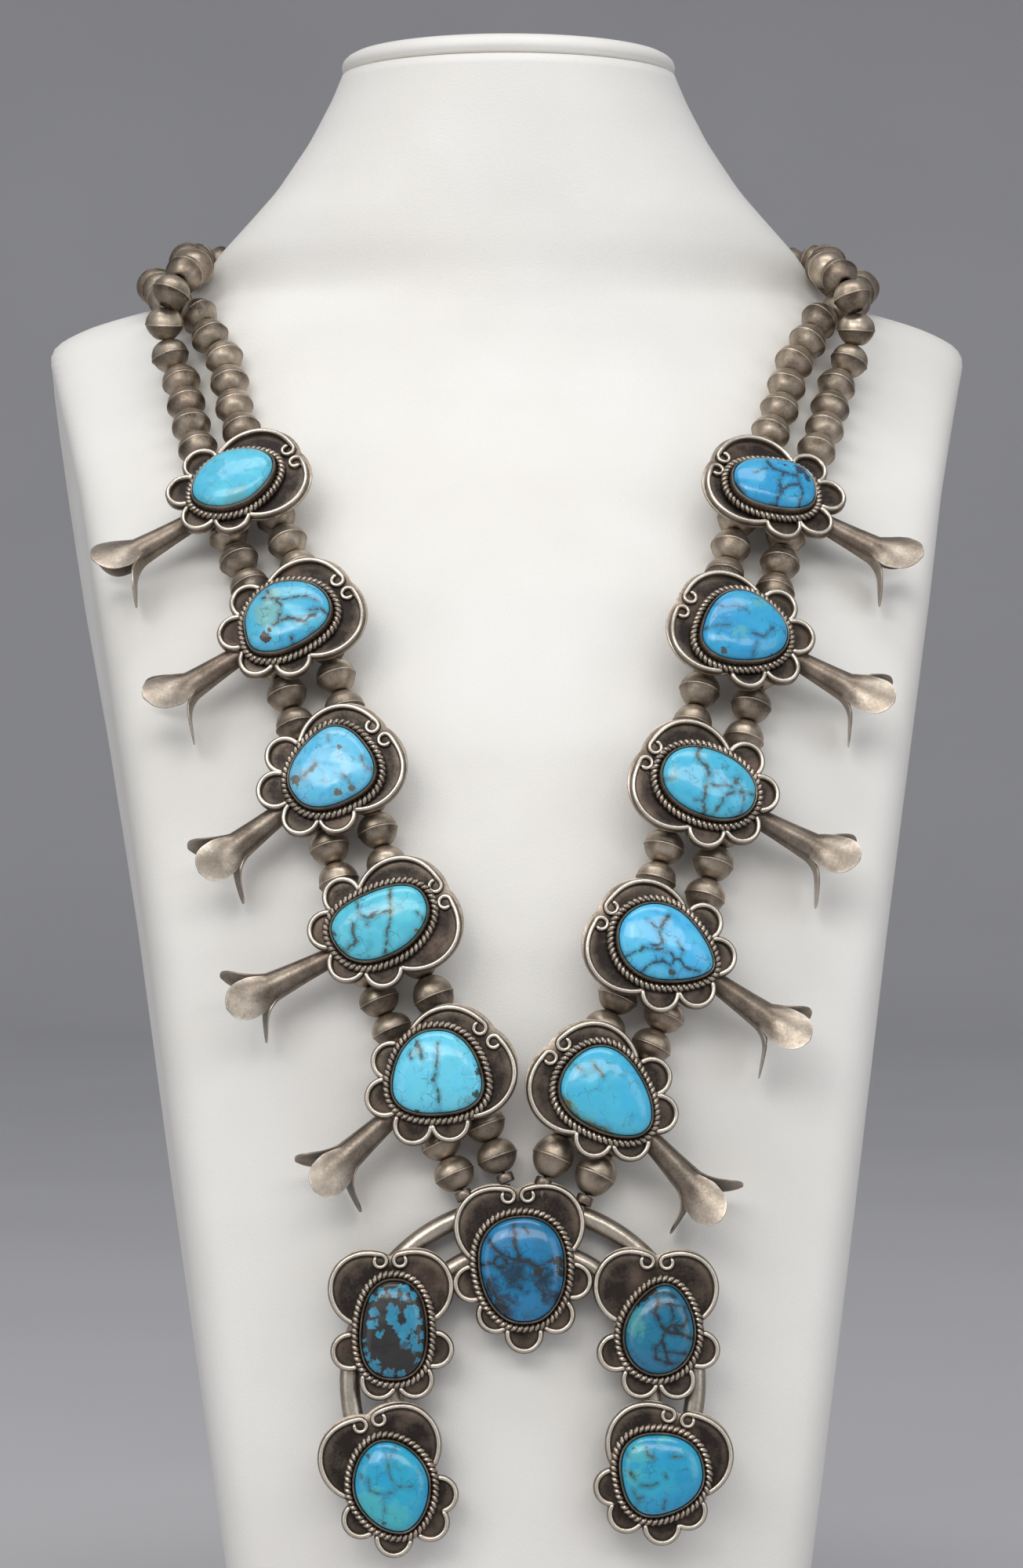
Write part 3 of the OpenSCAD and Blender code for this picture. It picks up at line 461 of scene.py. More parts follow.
def plate_radius(angles, plate, scallops):
    """Distance to the edge of a plate's outline in each direction, in radians."""
    r = np.zeros(len(angles))
    for (x, y), size in plate_discs(plate, scallops) + [((0, 0), plate[4])]:
        along = x * np.cos(angles) + y * np.sin(angles)
        off = x * np.sin(angles) - y * np.cos(angles)
        reach = along + np.sqrt(np.clip(size ** 2 - off ** 2, 0, None))
        r = np.where(np.abs(off) < size, np.maximum(r, reach), r)
    return r


def back_plate(piece, plate, scallops):
    angles = circle(PLATE_POINTS)
    edge = polar(np.degrees(angles), plate_radius(angles, plate, scallops))
    levels = [(0.3, 0, 0.3), (0.97, 0, 0.3), (1, 0.2, 0.5), (1, PLATE_T - 0.15, 0.7), (0.985, PLATE_T, 0.5),
              (0.8, PLATE_T, 0.04), (0.55, PLATE_T, 0.0)]
    piece.layers([(edge * share, z, wear_and_light) for share, z, wear_and_light in levels])


def arc(centre, r, start, end):
    n = max(4, int(abs(math.radians(end - start)) * r / WIRE_STEP))
    return centre + polar(np.linspace(start, end, n), r)


def longest_run(path, free):
    """The longest run of a path whose points are free."""
    best, start = (0, 0), None
    for i, ok in enumerate(list(free) + [False]):
        if ok and start is None:
            start = i
        if not ok and start is not None:
            if i - start > best[1] - best[0]:
                best = (start, i)
            start = None
    return path[best[0]:best[1]]


def turned(points, degrees):
    """Points turned in the local plane, with their heights where they have them."""
    t = math.radians(degrees)
    flat = points[:, :2] @ np.array([[math.cos(t), math.sin(t)], [-math.sin(t), math.cos(t)]])
    return np.column_stack([flat, points[:, 2:]])


def taper(n):
    """Sizes along a wire that narrows at its two ends."""
    s = np.ones(n)
    s[:2] = s[:-3:-1] = WIRE_END + (1 - WIRE_END) * np.array([0, 0.5]) ** 0.5
    return s


def edge_wires(piece, stone, plate, scallops, curl, at):
    """Half-round wires: a C on each scallop, and the two lobes ending in small curls."""
    section, worn = half_round(WIRE_W, WIRE_H * 1.3)
    half = WIRE_W / 2
    lobe_r, lobe_half, scallop_r, curls_out = plate[0], plate[2], plate[3], plate[5]
    discs = plate_discs(plate, scallops)

    def clipped(path, own):
        """The stretch of a path that no other disc and no stone covers, in its place."""
        free = np.ones(len(path), bool)
        for i, (c, r) in enumerate(discs):
            if i not in own:
                free &= np.hypot(*(path - c).T) > r - half - 0.25
        local = turned(path, curl) + at
        return longest_run(local, free & ~inside(local, stone, ROPE_OUT + ROPE_D * 0.3))

    def lay(path, scale=1.0):
        if len(path) > 5:
            sweep(piece, np.column_stack([path, np.full(len(path), PLATE_T)]), section, worn,
                  taper(len(path)) * scale)

    for i, s in enumerate(scallops, 2):
        lay(clipped(arc(discs[i][0], scallop_r - half, s[0] - 178, s[0] + 178), (i,)))
    for (lobe, _), side in zip(discs, (-1, 1)):
        curl_at = np.array([curls_out, side * CURLS_APART / 2])
        d = curl_at - lobe
        meet = math.degrees(math.atan2(d[1], d[0])) + side * CURL_MEETS
        big = arc(lobe, lobe_r - half, side * (lobe_half + 140), meet)
        turn = np.linspace(-6, CURL_ROUND, 44)
        size = CURL_R - 0.18 * smooth_step((turn - 120) / 170)
        small = curl_at + polar(meet - side * (CURL_MEETS + turn), size)
        big = big + (small[0] - big[-1]) * (np.linspace(0, 1, len(big)) ** 9)[:, None]
        inner = turned(small, curl) + at
        path, _ = resample(np.vstack([clipped(big, (0, 1)), inner[1:]]), 0.28)
        share = np.arange(len(path)) / len(path)
        reach = len(inner) * 0.17 / (len(path) * 0.28)
        lay(path, 1 - 0.2 * smooth_step((share - (1 - 1.25 * reach)) / (0.5 * reach)))


def bezel(piece, stone):
    top = PLATE_T + BEZEL_H
    levels = [(BEZEL_T, PLATE_T - 0.2, 0.0), (BEZEL_T, top - 0.9, 0.3), (BEZEL_T * 0.9, top - 0.25, 0.5),
              (BEZEL_T * 0.5, top + 0.05, 0.6), (0.02, top - 0.1, 0.35), (-0.02, PLATE_T + 0.2, 0.0)]
    piece.layers([(stone_outline(stone, grow), z, wear_and_light) for grow, z, wear_and_light in levels], caps=False)


def setting(stone, plate, scallops, curl, at=(0, 0)):
    piece = Piece()
    back_plate(piece, plate, scallops)
    piece.placed(lambda p: turned(p, curl) + [*at, 0])
    edge_wires(piece, stone, plate, scallops, curl, np.array(at))
    bezel(piece, stone)
    rope_ring(piece, stone_outline(stone, ROPE_OUT), ROPE_WIDE, PLATE_T + ROPE_WIDE * 0.46)
    return piece


def dome(stone, seed):
    """A cabochon with a slightly uneven dome, as rings from its hidden foot to its top."""
    edge, middle = stone_outline(stone, -STONE_GAP), np.array(stone[-1])
    top = PLATE_T + BEZEL_H
    rings = [np.column_stack([edge, np.full(len(edge), PLATE_T + STONE_GAP)])]
    for t in np.linspace(0, 1, DOME_RINGS):
        a = t * math.pi / 2 * 0.985
        flat = middle + (edge - middle) * math.cos(a) ** 0.72
        z = top - 0.3 + (DOME_H + 0.3) * math.sin(a) ** 0.95
        p = np.column_stack([flat, np.full(len(edge), z)])
        for q in p:
            for height, fine in ((0.3, 0.16), (0.07, 0.5)):
                q[2] += height * t * noise.noise(Vector((q[0] * fine + seed * 7.3, q[1] * fine, seed)))
        rings.append(p)
    return np.array(rings)


def line_distance(points, route):
    """Distance of flat points from a route of straight stretches."""
    best = np.full(len(points), 99.0)
    for a, b in zip(route[:-1], route[1:]):
        along = np.clip((points - a) @ (b - a) / ((b - a) @ (b - a)), 0, 1)
        best = np.minimum(best, np.linalg.norm(points - a - along[:, None] * (b - a), axis=1))
    return best


def spot_distance(points, spots):
    """Distance of flat points from the nearest edge of some round spots."""
    best = np.full(len(points), 20.0)
    for x, y, r in np.array(spots).reshape(-1, 3) / 10:
        best = np.minimum(best, np.hypot(points[:, 0] - x, points[:, 1] - y) - r)
    return best


# Petals of a trumpet: direction round its axis, bend away from the axis at the tip, length in mm
PETALS = [(172, 26, 11.3), (60, 64, 11.4), (-64, 38, 11.0)]


def petal(piece, direction, bend, length, columns=15):
    """One third of the trumpet's tube, bent out at its split into a broad petal with a blunt end."""
    s = np.linspace(0, SPLIT, TUBE_STEPS)
    x, r = s * TRUMPET_LEN, NECK_R * (1.06 + 0.54 * (s / SPLIT) ** 1.4)
    x[0] = -ROOT_BACK
    start = math.degrees(math.atan2(r[-1] - r[-2], x[-1] - x[-2]))
    t = np.linspace(0, 1, PETAL_STEPS + 1)[1:]
    beta = np.radians(start + (bend - start) * smooth_step((t + 0.12) / 0.72))
    step = length / PETAL_STEPS
    x = np.concatenate([x, x[-1] + np.cumsum(np.cos(beta)) * step])
    centre = np.concatenate([r, r[-1] + np.cumsum(np.sin(beta)) * step])
    curve = np.concatenate([r, r[-1] * (1 + 4 * t)])
    tip = (1 - np.clip((t - 0.5) / 0.5, 0, 1) ** 2.6) ** 0.55
    half = (r[-1] * math.pi / 3 + 1.1 * smooth_step(t / 0.4)) * tip
    half = np.concatenate([r * math.pi / 3, np.maximum(half, 0.2)])
    u = np.linspace(-1, 1, columns)
    turn = half[:, None] * u / curve[:, None]
    lateral = curve[:, None] * np.sin(turn)
    radial = centre[:, None] - curve[:, None] * (1 - np.cos(turn))
    grid = np.stack([x[:, None] + 0 * lateral, lateral, radial], -1)
    normal = unit(np.cross(np.gradient(grid, axis=1), np.gradient(grid, axis=0)))
    normal *= np.sign(normal[..., 2:3].mean() + 1e-9)
    share = np.concatenate([np.zeros(TUBE_STEPS), t])
    thick = SHEET_T * (1 - 0.35 * share)[:, None, None]
    under = grid - normal * thick
    rings = np.concatenate([grid, under[:, ::-1]], axis=1)
    root = rings[:1] * [1, 0.03, 0.03]
    rings = np.concatenate([root, rings])
    outer = 0.42 + 0.18 * smooth_step((share - 0.05) / 0.5)
    outer *= np.concatenate([smooth_step(s / 0.3) * 0.5 + 0.5, np.ones(PETAL_STEPS)])
    outer = outer[:, None] + 0.18 * np.abs(u) ** 6 * (share[:, None] > 0)
    inner = (0.05 + 0.35 * smooth_step((share - 0.35) / 0.6))[:, None] + 0.25 * np.abs(u) ** 6
    worn = np.concatenate([outer, inner], axis=1)
    worn = np.concatenate([worn[:1] * 0.3, worn])
    a = math.radians(direction)
    side, up = np.array([math.cos(a), math.sin(a)]), np.array([math.sin(a), -math.cos(a)])
    y = rings[..., 1:2] * side + rings[..., 2:3] * up
    piece.grid(np.concatenate([rings[..., :1], y], -1), worn)


def trumpet(rng):
    """Flared sheet along local X, split into three petals, with a closed root."""
    piece = Piece()
    turn = rng.uniform(-9, 9)
    for direction, bend, length in PETALS:
        petal(piece, direction + turn, bend + rng.uniform(-6, 6), length + rng.uniform(-0.5, 0.4))
    return piece


def on_surface(origin, normal, mirror=False):
    """Local X across, Y up and Z outwards on a surface, as a change of place for points."""
    x = unit(np.cross([0, 0, 1.0], normal))
    y = np.cross(normal, x)
    basis = np.array([-x if mirror else x, y, normal])

    def place(points):
        return np.asarray(points) @ basis + origin

    return place


def row_point(r, side):
    return np.array([side * r[0], r[1], r[2]], float)


def row_normal(r, side):
    a, b = math.radians(r[3]), math.radians(r[4])
    return np.array([side * math.sin(a) * math.cos(b), -math.cos(a) * math.cos(b), math.sin(b)])


def strand_knots(rows, side, layer):
    out = []
    for i, r in enumerate(rows):
        a, b = row_point(rows[max(i - 1, 0)], side), row_point(rows[min(i + 1, len(rows) - 1)], side)
        n = row_normal(r, side)
        o = unit(np.cross(unit(b - a), n)) * -side
        roll = math.radians(r[5])
        out.append(row_point(r, side) + (o * math.cos(roll) + n * math.sin(roll)) * r[6] * layer)
    return out


def tube(piece, a, b, r, hole=0.0, worn=0.4):
    """A round tube or rod from a to b with softly rounded ends."""
    d = unit(b - a)
    x = unit(np.cross(d, ASKEW))
    f = circle(24)
    ring = np.cos(f)[:, None] * x + np.sin(f)[:, None] * np.cross(d, x)
    profile = [(a, max(hole, r * 0.3)), (a, r - 0.15), (a + d * 0.15, r), (b - d * 0.15, r), (b, r - 0.15),
               (b, max(hole, r * 0.3))]
    if hole:
        profile += [(b - d * 0.1, hole), (a + d * 0.1, hole)]
    piece.grid(np.array([p + ring * radius for p, radius in profile]), worn, closed=bool(hole))


# Materials

class Graph:
    """A material's nodes, made and linked in short calls."""

    def __init__(self, name):
        self.material = bpy.data.materials.new(name)
        self.material.use_nodes = True
        self.tree = self.material.node_tree
        self.shader = self.tree.nodes["Principled BSDF"]
        self.place = self.tree.nodes.new("ShaderNodeTexCoord").outputs["Object"]

    def node(self, kind, values=None, out=0, **settings):
        made = self.tree.nodes.new("ShaderNode" + kind)
        for key, value in settings.items():
            setattr(made, key, value)
        for key, value in (values or {}).items():
            self.put(made.inputs[key], value)
        return made.outputs[out]

    def put(self, socket, value):
        if isinstance(value, bpy.types.NodeSocket):
            self.tree.links.new(value, socket)
        else:
            socket.default_value = value

    def noise(self, size, detail=3.0, roughness=0.5, distortion=0.0):
        """Noise whose features are about this size in mm."""
        return self.node("TexNoise", {"Vector": self.place, "Scale": 1 / (size * MM), "Detail": detail,
                                      "Roughness": roughness, "Distortion": distortion})

    def wavy(self, size, reach):
        """The place pushed about by noise: feature size and reach in mm."""
        colour = self.node("TexNoise", {"Vector": self.place, "Scale": 1 / (size * MM)}, out=1)
        push = self.node("VectorMath", {0: colour, 1: (0.5, 0.5, 0.5)}, operation="SUBTRACT")
        push = self.node("VectorMath", {0: push, "Scale": 2 * reach * MM}, operation="SCALE")
        return self.node("VectorMath", {0: self.place, 1: push}, operation="ADD")

    def cells(self, size, place=None):
        """Distance from the edges of cells of about this size in mm."""
        return self.node("TexVoronoi", {"Vector": place or self.place, "Scale": 1 / (size * MM)},
                         out="Distance", feature="DISTANCE_TO_EDGE")

    def math(self, operation, a, b):
        return self.node("Math", {0: a, 1: b}, operation=operation)

    def span(self, value, low, high, to_low=0.0, to_high=1.0, smooth=False):
        kind = "SMOOTHSTEP" if smooth else "LINEAR"
        return self.node("MapRange", {"Value": value, "From Min": low, "From Max": high, "To Min": to_low,
                                      "To Max": to_high}, interpolation_type=kind)

    def mix(self, factor, a, b, blend="MIX"):
        made = self.tree.nodes.new("ShaderNodeMix")
        made.data_type, made.blend_type = "RGBA", blend
        self.put(made.inputs[0], factor)
        self.put(made.inputs[6], a)
        self.put(made.inputs[7], b)
        return made.outputs[2]

    def ramp(self, value, stops):
        made = self.tree.nodes.new("ShaderNodeValToRGB")
        self.put(made.inputs[0], value)
        elements = made.color_ramp.elements
        while len(elements) < len(stops):
            elements.new(0.5)
        for element, (at, colour) in zip(elements, stops):
            element.position, element.color = at, colour
        return made.outputs[0]

    def attribute(self, name):
        return self.node("Attribute", out="Fac", attribute_name=name)

    def bump(self, height, strength, distance, normal=None):
        values = {"Height": height, "Strength": strength, "Distance": distance * MM}
        if normal is not None:
            values["Normal"] = normal
        return self.node("Bump", values)

    def finish(self, **inputs):
        for key, value in inputs.items():
            self.put(self.shader.inputs[key.replace("_", " ").title()], value)
        return self.material


def rgb(hexa):
    """A display colour as the linear numbers that the shaders use."""
    c = [int(hexa[i:i + 2], 16) / 255 for i in (1, 3, 5)]
    return (*(x / 12.92 if x <= 0.04045 else ((x + 0.055) / 1.055) ** 2.4 for x in c), 1)


def silver(name, dark, mid, warm, bright):
    """Old silver: dark in its hollows, brighter where the attribute says that it is worn; on the beads the
    attribute also holds painted light on the upper half and painted shade under the rim and on the lower
    half.
    """
    g = Graph(name)
    broad, fine = g.noise(4.5), g.noise(0.6, 3, 0.6)
    # Wear, and on the beads painted light and shade, from the attribute
    value = g.math("ADD", g.attribute("worn"), g.span(broad, 0.3, 0.7, -0.1, 0.1))
    value = g.math("ADD", value, g.span(fine, 0.3, 0.7, -0.06, 0.06))
    colour = g.ramp(value, [(0.0, rgb(dark)), (0.34, rgb(mid)), (0.62, rgb(warm)), (0.95, rgb(bright))])
    colour = g.mix(g.span(g.noise(9, 2), 0.5, 0.75, 0, 0.2), colour, rgb("#a98b7a"))
    colour = g.mix(g.span(g.noise(0.35, 4, 0.7), 0.66, 0.74, 0, 0.5), colour, rgb(dark))
    scratches = g.noise(0.7, 4, 0.7, distortion=1.5)
    roughness = g.math("ADD", g.span(value, 0.1, 0.9, 0.46, 0.3), g.span(scratches, 0.35, 0.65, -0.06, 0.06))
    bump = g.bump(g.noise(1.6, 3, 0.55), 0.25, 0.22)
    bump = g.bump(g.noise(0.25, 2, 0.6), 0.12, 0.05, bump)
    metallic = g.span(value, 0.0, 0.3, 0.6, 0.95)
    return g.finish(base_color=colour, metallic=metallic, roughness=roughness, normal=bump)


def turquoise(name, base, second, vein, matrix, tint):
    """Polished turquoise with its cracks and matrix where the attributes say."""
    g = Graph(name)
    wobble, fine = g.noise(1.5, 4, 0.65), g.noise(0.5, 3, 0.7)
    colour = g.mix(g.span(g.noise(7, distortion=0.5), 0.36, 0.66, 0, 1, True), rgb(base), rgb(second))
    deep = g.mix(1.0, colour, (0.5, 0.58, 0.62, 1), "MULTIPLY")
    colour = g.mix(g.span(g.noise(3.6, 4, 0.6, distortion=0.8), 0.5, 0.72, 0, 0.5, True), colour, deep)
    tinted = g.math("ADD", g.attribute("tint"), g.span(wobble, 0.3, 0.7, -1.6, 1.6))
    colour = g.mix(g.span(tinted, -1.4, 1.2, 0.7, 0, True), colour, rgb(tint))
    shaded = g.math("ADD", g.attribute("shade"), g.span(wobble, 0.3, 0.7, -2.2, 2.2))
    colour = g.mix(g.span(shaded, -2.2, 2.2, 0.85, 0, True), colour, rgb(vein))
    colour = g.mix(g.span(fine, 0.62, 0.8, 0, 0.16), colour, rgb("#a8d4dc"))
    web = g.cells(3.4, g.wavy(1.6, 1.1))
    faint = g.math("MULTIPLY", g.span(web, 0.01, 0.045, 0.5, 0, True), g.span(g.noise(4.2, 2), 0.48, 0.6))
    colour = g.mix(faint, colour, rgb(vein))
    crack = g.math("ADD", g.attribute("crack"), g.span(wobble, 0.3, 0.7, -0.34, 0.34))
    crack = g.math("ADD", crack, g.span(fine, 0.3, 0.7, -0.12, 0.12))
    colour = g.mix(g.span(crack, 0.0, 1.1, 0.42, 0, True), colour, rgb(vein))
    line = g.span(crack, -0.12, 0.2, 0.9, 0, True)
    colour = g.mix(line, colour, rgb(vein))
    spot = g.math("ADD", g.attribute("spot"), g.span(wobble, 0.3, 0.7, -0.75, 0.75))
    spot = g.span(spot, -0.12, 0.22, 1, 0, True)
    earth = g.mix(g.span(fine, 0.35, 0.65), rgb(matrix), rgb(vein))
    colour = g.mix(spot, colour, earth)
    height = g.math("MAXIMUM", line, spot)
    bump = g.bump(height, 0.35, -0.05, g.bump(g.noise(2.2, 2), 0.06, 0.12))
    return g.finish(base_color=colour, roughness=g.span(height, 0, 1, 0.26, 0.42), coat_weight=0.45,
                    coat_roughness=0.06, normal=bump)


def leatherette(name):
    """The bust's pale cover: fine grain, slow changes of tone and a few dark specks."""
    g = Graph(name)
    grain, fine = g.cells(0.9), g.noise(0.5, 3, 0.6)
    tone = g.mix(g.span(g.noise(60), 0.3, 0.7), rgb("#e8e6e2"), rgb("#dfdcd6"))
    tone = g.mix(g.span(g.noise(2.4, 5, 0.75), 0.735, 0.77, 0, 0.3), tone, rgb("#8d8478"))
    bump = g.bump(fine, 0.1, 0.08, g.bump(g.span(grain, 0, 0.25), 0.14, 0.12))
    return g.finish(base_color=tone, roughness=g.span(g.noise(14), 0.3, 0.7, 0.42, 0.54), normal=bump)


# The bust

def bow(u, rounded):
    return (1 - rounded) * u * u + rounded * (1 - np.sqrt(np.clip(1 - u * u, 0, None)))


def half_section(s, inset):
    """Right half of one section from the front centre round to the back centre."""
    _, front, wf, edge, wb, back_edge, back, rounded = s
    wf, wb = wf * BUST_W - inset, wb * BUST_W - inset
    yf, ye = front * BUST_D + inset, edge * BUST_D
    yk, yb = back_edge * BUST_D, back * BUST_D - inset
    r = min(EDGE_R, max(yk - ye, 0.9) / 3) * (1 - rounded) + 0.3
    wi, wj = wf - r, wb - r
    u = np.sin(np.radians(np.linspace(0, 90, 24)))
    front = np.stack([u * wi, yf + (ye - yf) * bow(u * wi / wf, rounded)], 1)
    side = np.array([wb - wf, yk - ye + 1])
    corner = np.array([wf, ye])
    t = np.linspace(0, 1, 12)[:, None]

    def soft(a, c, b):
        return a * (1 - t) ** 2 + c * 2 * t * (1 - t) + b * t * t

    last = np.array([wj, yb + (yk - yb) * bow(wj / wb, rounded) + 1])
    first_turn = soft(front[-1], corner, corner + side * 0.1)
    second_turn = soft(corner + side * 0.9, np.array([wb, yk + 1]), last)
    back = np.stack([u[::-1] * wj, yb + (yk - yb) * bow(u[::-1] * wj / wb, rounded) + 1], 1)
    return resample(np.vstack([front, first_turn[1:], second_turn, back[1:]]), 3)[0]


def bust_rings(inset=0.4, count=190, points=112):
    table = np.array(SECTIONS) / 1000
    z = np.linspace(0, table[-1, 0], 800)
    dense = np.column_stack([z] + [np.interp(z, table[:, 0], table[:, k]) for k in range(1, 8)])
    kernel = np.hanning(15)
    kernel /= kernel.sum()
    for k in range(1, 8):
        below = 2 * dense[0, k] - dense[7:0:-1, k]
        above = 2 * dense[-1, k] - dense[-2:-9:-1, k]
        dense[:, k] = np.convolve(np.concatenate([below, dense[:, k], above]), kernel, "valid")
    length = travelled(dense[:, [0, 4]] * [BUST_H, BUST_W])
    rings = []
    for at in np.linspace(0, length[-1], count):
        s = [np.interp(at, length, dense[:, k]) for k in range(8)]
        half = half_section(s, inset)
        steps = travelled(half)
        even = np.linspace(0, steps[-1], points)
        half = np.stack([np.interp(even, steps, half[:, k]) for k in (0, 1)], 1)
        ring = np.vstack([half, (half * [-1, 1])[-2:0:-1]])
        rings.append(np.column_stack([ring, np.full(len(ring), s[0] * BUST_H)]))
    return np.array(rings)


def make_bust(material):
    rings = bust_rings()
    centre = rings[0].mean(0)
    foot = [centre + (rings[0] - centre) * f + [0, 0, z] for f, z in ((0.3, 0), (0.985, 0), (0.995, 0.8))]
    rings[0][:, 2] += 2.5
    rings = np.concatenate([np.array(foot), rings])
    for ring in rings[3:]:
        for p in ring:
            p[1] += 0.25 * noise.noise(Vector(p * 0.02))
    piece = Piece()
    piece.grid(rings)
    bust = piece.make("bust", material, sharp=0)
    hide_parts("bust_body")


def make_cap(material):
    profile = [(0.5, 0), (30, 0), (36, 0), (CAP_R - 1.6, 0), (CAP_R - 0.5, 0.35), (CAP_R, 1.2),
               (CAP_R - 0.05, 2.4), (CAP_R - 0.7, 3.6), (CAP_R - 2.4, 4.5), (CAP_R - 6, CAP_T - 0.1),
               (CAP_R - 14, CAP_T), (0.5, CAP_T)]
    profile, _ = resample(np.array(profile, float), 1.2)
    around = polar(np.degrees(circle(144)), 1)
    piece = Piece()
    piece.layers([(around * r + [0, CAP_Y], BUST_H - CAP_T + h, 0.5) for r, h in profile])
    cap = piece.make("cap", material, sharp=0)
    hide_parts("neck_cap")


# Beads

def loose_parts(node):
    """Vertices of each loose part of a CAD node, in mm."""
    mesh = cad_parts[node].data
    points = np.array([v.co for v in mesh.vertices]) / MM
    keys, index = np.unique(np.round(points, 3), axis=0, return_inverse=True)
    index = index.reshape(-1)
    parent = list(range(len(keys)))

    def root(i):
        while parent[i] != i:
            parent[i] = parent[parent[i]]
            i = parent[i]
        return i

    for e in mesh.edges:
        a, b = root(index[e.vertices[0]]), root(index[e.vertices[1]])
        if a != b:
            parent[a] = b
    groups = {}
    for i in range(len(keys)):
        groups.setdefault(root(i), []).append(i)
    return [keys[g] for g in groups.values()]


# Bead from its upper to its lower end: radius and height as shares, then wear with painted light and shade:
# the rim rubbed bright, the upper half painted lighter, painted shade just under the rim and on the lower
# half
BEAD_PROFILE = [
    (0.24, -0.6, 0), (0.25, -0.99, 0.1), (0.36, -1, 0.3), (0.43, -0.96, 0.4), (0.56, -0.87, 0.45),
    (0.7, -0.74, 0.5), (0.81, -0.58, 0.55), (0.89, -0.41, 0.5), (0.94, -0.23, 0.4), (0.965, -0.05, 0.3),
    (0.975, 0.02, 0.3), (1, 0.045, 0.55), (1, 0.085, 0.5), (0.965, 0.12, 0.1), (0.93, 0.22, 0.12),
    (0.875, 0.4, 0.2), (0.79, 0.58, 0.28), (0.68, 0.74, 0.3), (0.56, 0.87, 0.28), (0.45, 0.95, 0.25),
    (0.36, 1, 0.15), (0.25, 0.99, 0.05), (0.24, 0.6, 0)]


def bead(length, rng, sides=36):
    """A hollow bead of two domed halves with a thin seam, its holes' collars and small dents."""
    r, h = BEAD_D / 2, length / 2
    f = circle(sides) + rng.uniform(0, 1)
    oval, tilt, seed = rng.uniform(0, 0.02), rng.uniform(0, math.pi), rng.uniform(0, 100)
    points, wear_and_light = [], []
    for a, b, w in BEAD_PROFILE:
        for angle in f:
            x, y, z = a * r * math.cos(angle), a * r * math.sin(angle), b * h
            dent = noise.noise(Vector((x * 0.26 + seed, y * 0.26, z * 0.26)))
            fine = noise.noise(Vector((x * 0.8 + seed, y * 0.8, z * 0.8)))
            k = 1 + (dent * 0.055 + fine * 0.012) * (0 if a < 0.3 else 1)
            k *= 1 - oval * (0.5 + 0.5 * math.cos(2 * (angle - tilt)))
            points.append((x * min(k, 1.015), y * min(k, 1.015), z))
            # Painted light on the upper half and painted shade under the rim and on the lower half, with
            # wear on the rim and raised dents
            wear_and_light.append(w + 0.22 * dent)
    return np.array(points).reshape(len(BEAD_PROFILE), sides, 3), np.array(wear_and_light)


def make_beads(name, material, rng):
    piece = Piece()
    parts = loose_parts("beads_" + name)
    middles = np.array([(part.min(0) + part.max(0)) / 2 for part in parts])
    for part, centre in zip(parts, middles):
        values, vectors = np.linalg.eigh(np.cov((part - centre).T))
        gap = [abs(values[1] - values[2]), abs(values[0] - values[2]), abs(values[0] - values[1])]
        axis = vectors[:, int(np.argmin(gap))]
        apart = np.linalg.norm(middles - centre, axis=1)
        near = np.argsort(apart)[1:3]
        length = np.ptp((part - centre) @ axis)
        if apart[near[1]] < NEXT_BEAD and (middles[near[0]] - centre) @ (middles[near[1]] - centre) < 0:
            axis = unit(middles[near[0]] - middles[near[1]])
            length = max(length, apart[near].mean() - BEAD_GAP)
        behind = min(max(centre[1] / NAPE_FROM - 1, 0), 3)
        if axis @ np.array([math.copysign(behind, centre[0]), -behind / 2, -1]) < 0:
            axis = -axis
        points, wear_and_light = bead(length + 0.1, rng)
        x = unit(np.cross(axis, ASKEW))
        points = points @ np.array([x, np.cross(axis, x), axis]) + centre + [0, SET_BACK, 0]
        piece.grid(points, wear_and_light + rng.uniform(-0.1, 0.1), closed=True)
    made = piece.make("beads_" + name, material, sharp=0)
    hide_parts("beads_" + name)


# Blossoms, stones and the naja

def make_stone(node, key, outline, place, seed):
    slot_word, *colours = COLOURS[key]
    piece = Piece()
    piece.grid(dome(outline, seed))
    flat = piece.points[0][:, :2] - np.array(outline[-1])
    piece.placed(place)
    made = piece.make(node, turquoise(node, *colours), sharp=0)
    cracks, spots, tints, shades = STONE_MARKS[key]
    crack = np.full(len(flat), 9.0)
    for half, *route in cracks:
        crack = np.minimum(crack, line_distance(flat, np.array(route) / 10) - half / 10)
    spot = spot_distance(flat, spots)
    if key == CELLED:
        spot = np.maximum(0.22 - spot, -4)
    for name, values in (("crack", crack), ("spot", spot), ("tint", spot_distance(flat, tints)),
                         ("shade", spot_distance(flat, shades))):
        made.data.attributes.new(name, "FLOAT", "POINT").data.foreach_set("value", values.astype(np.float32))
    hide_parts(node)


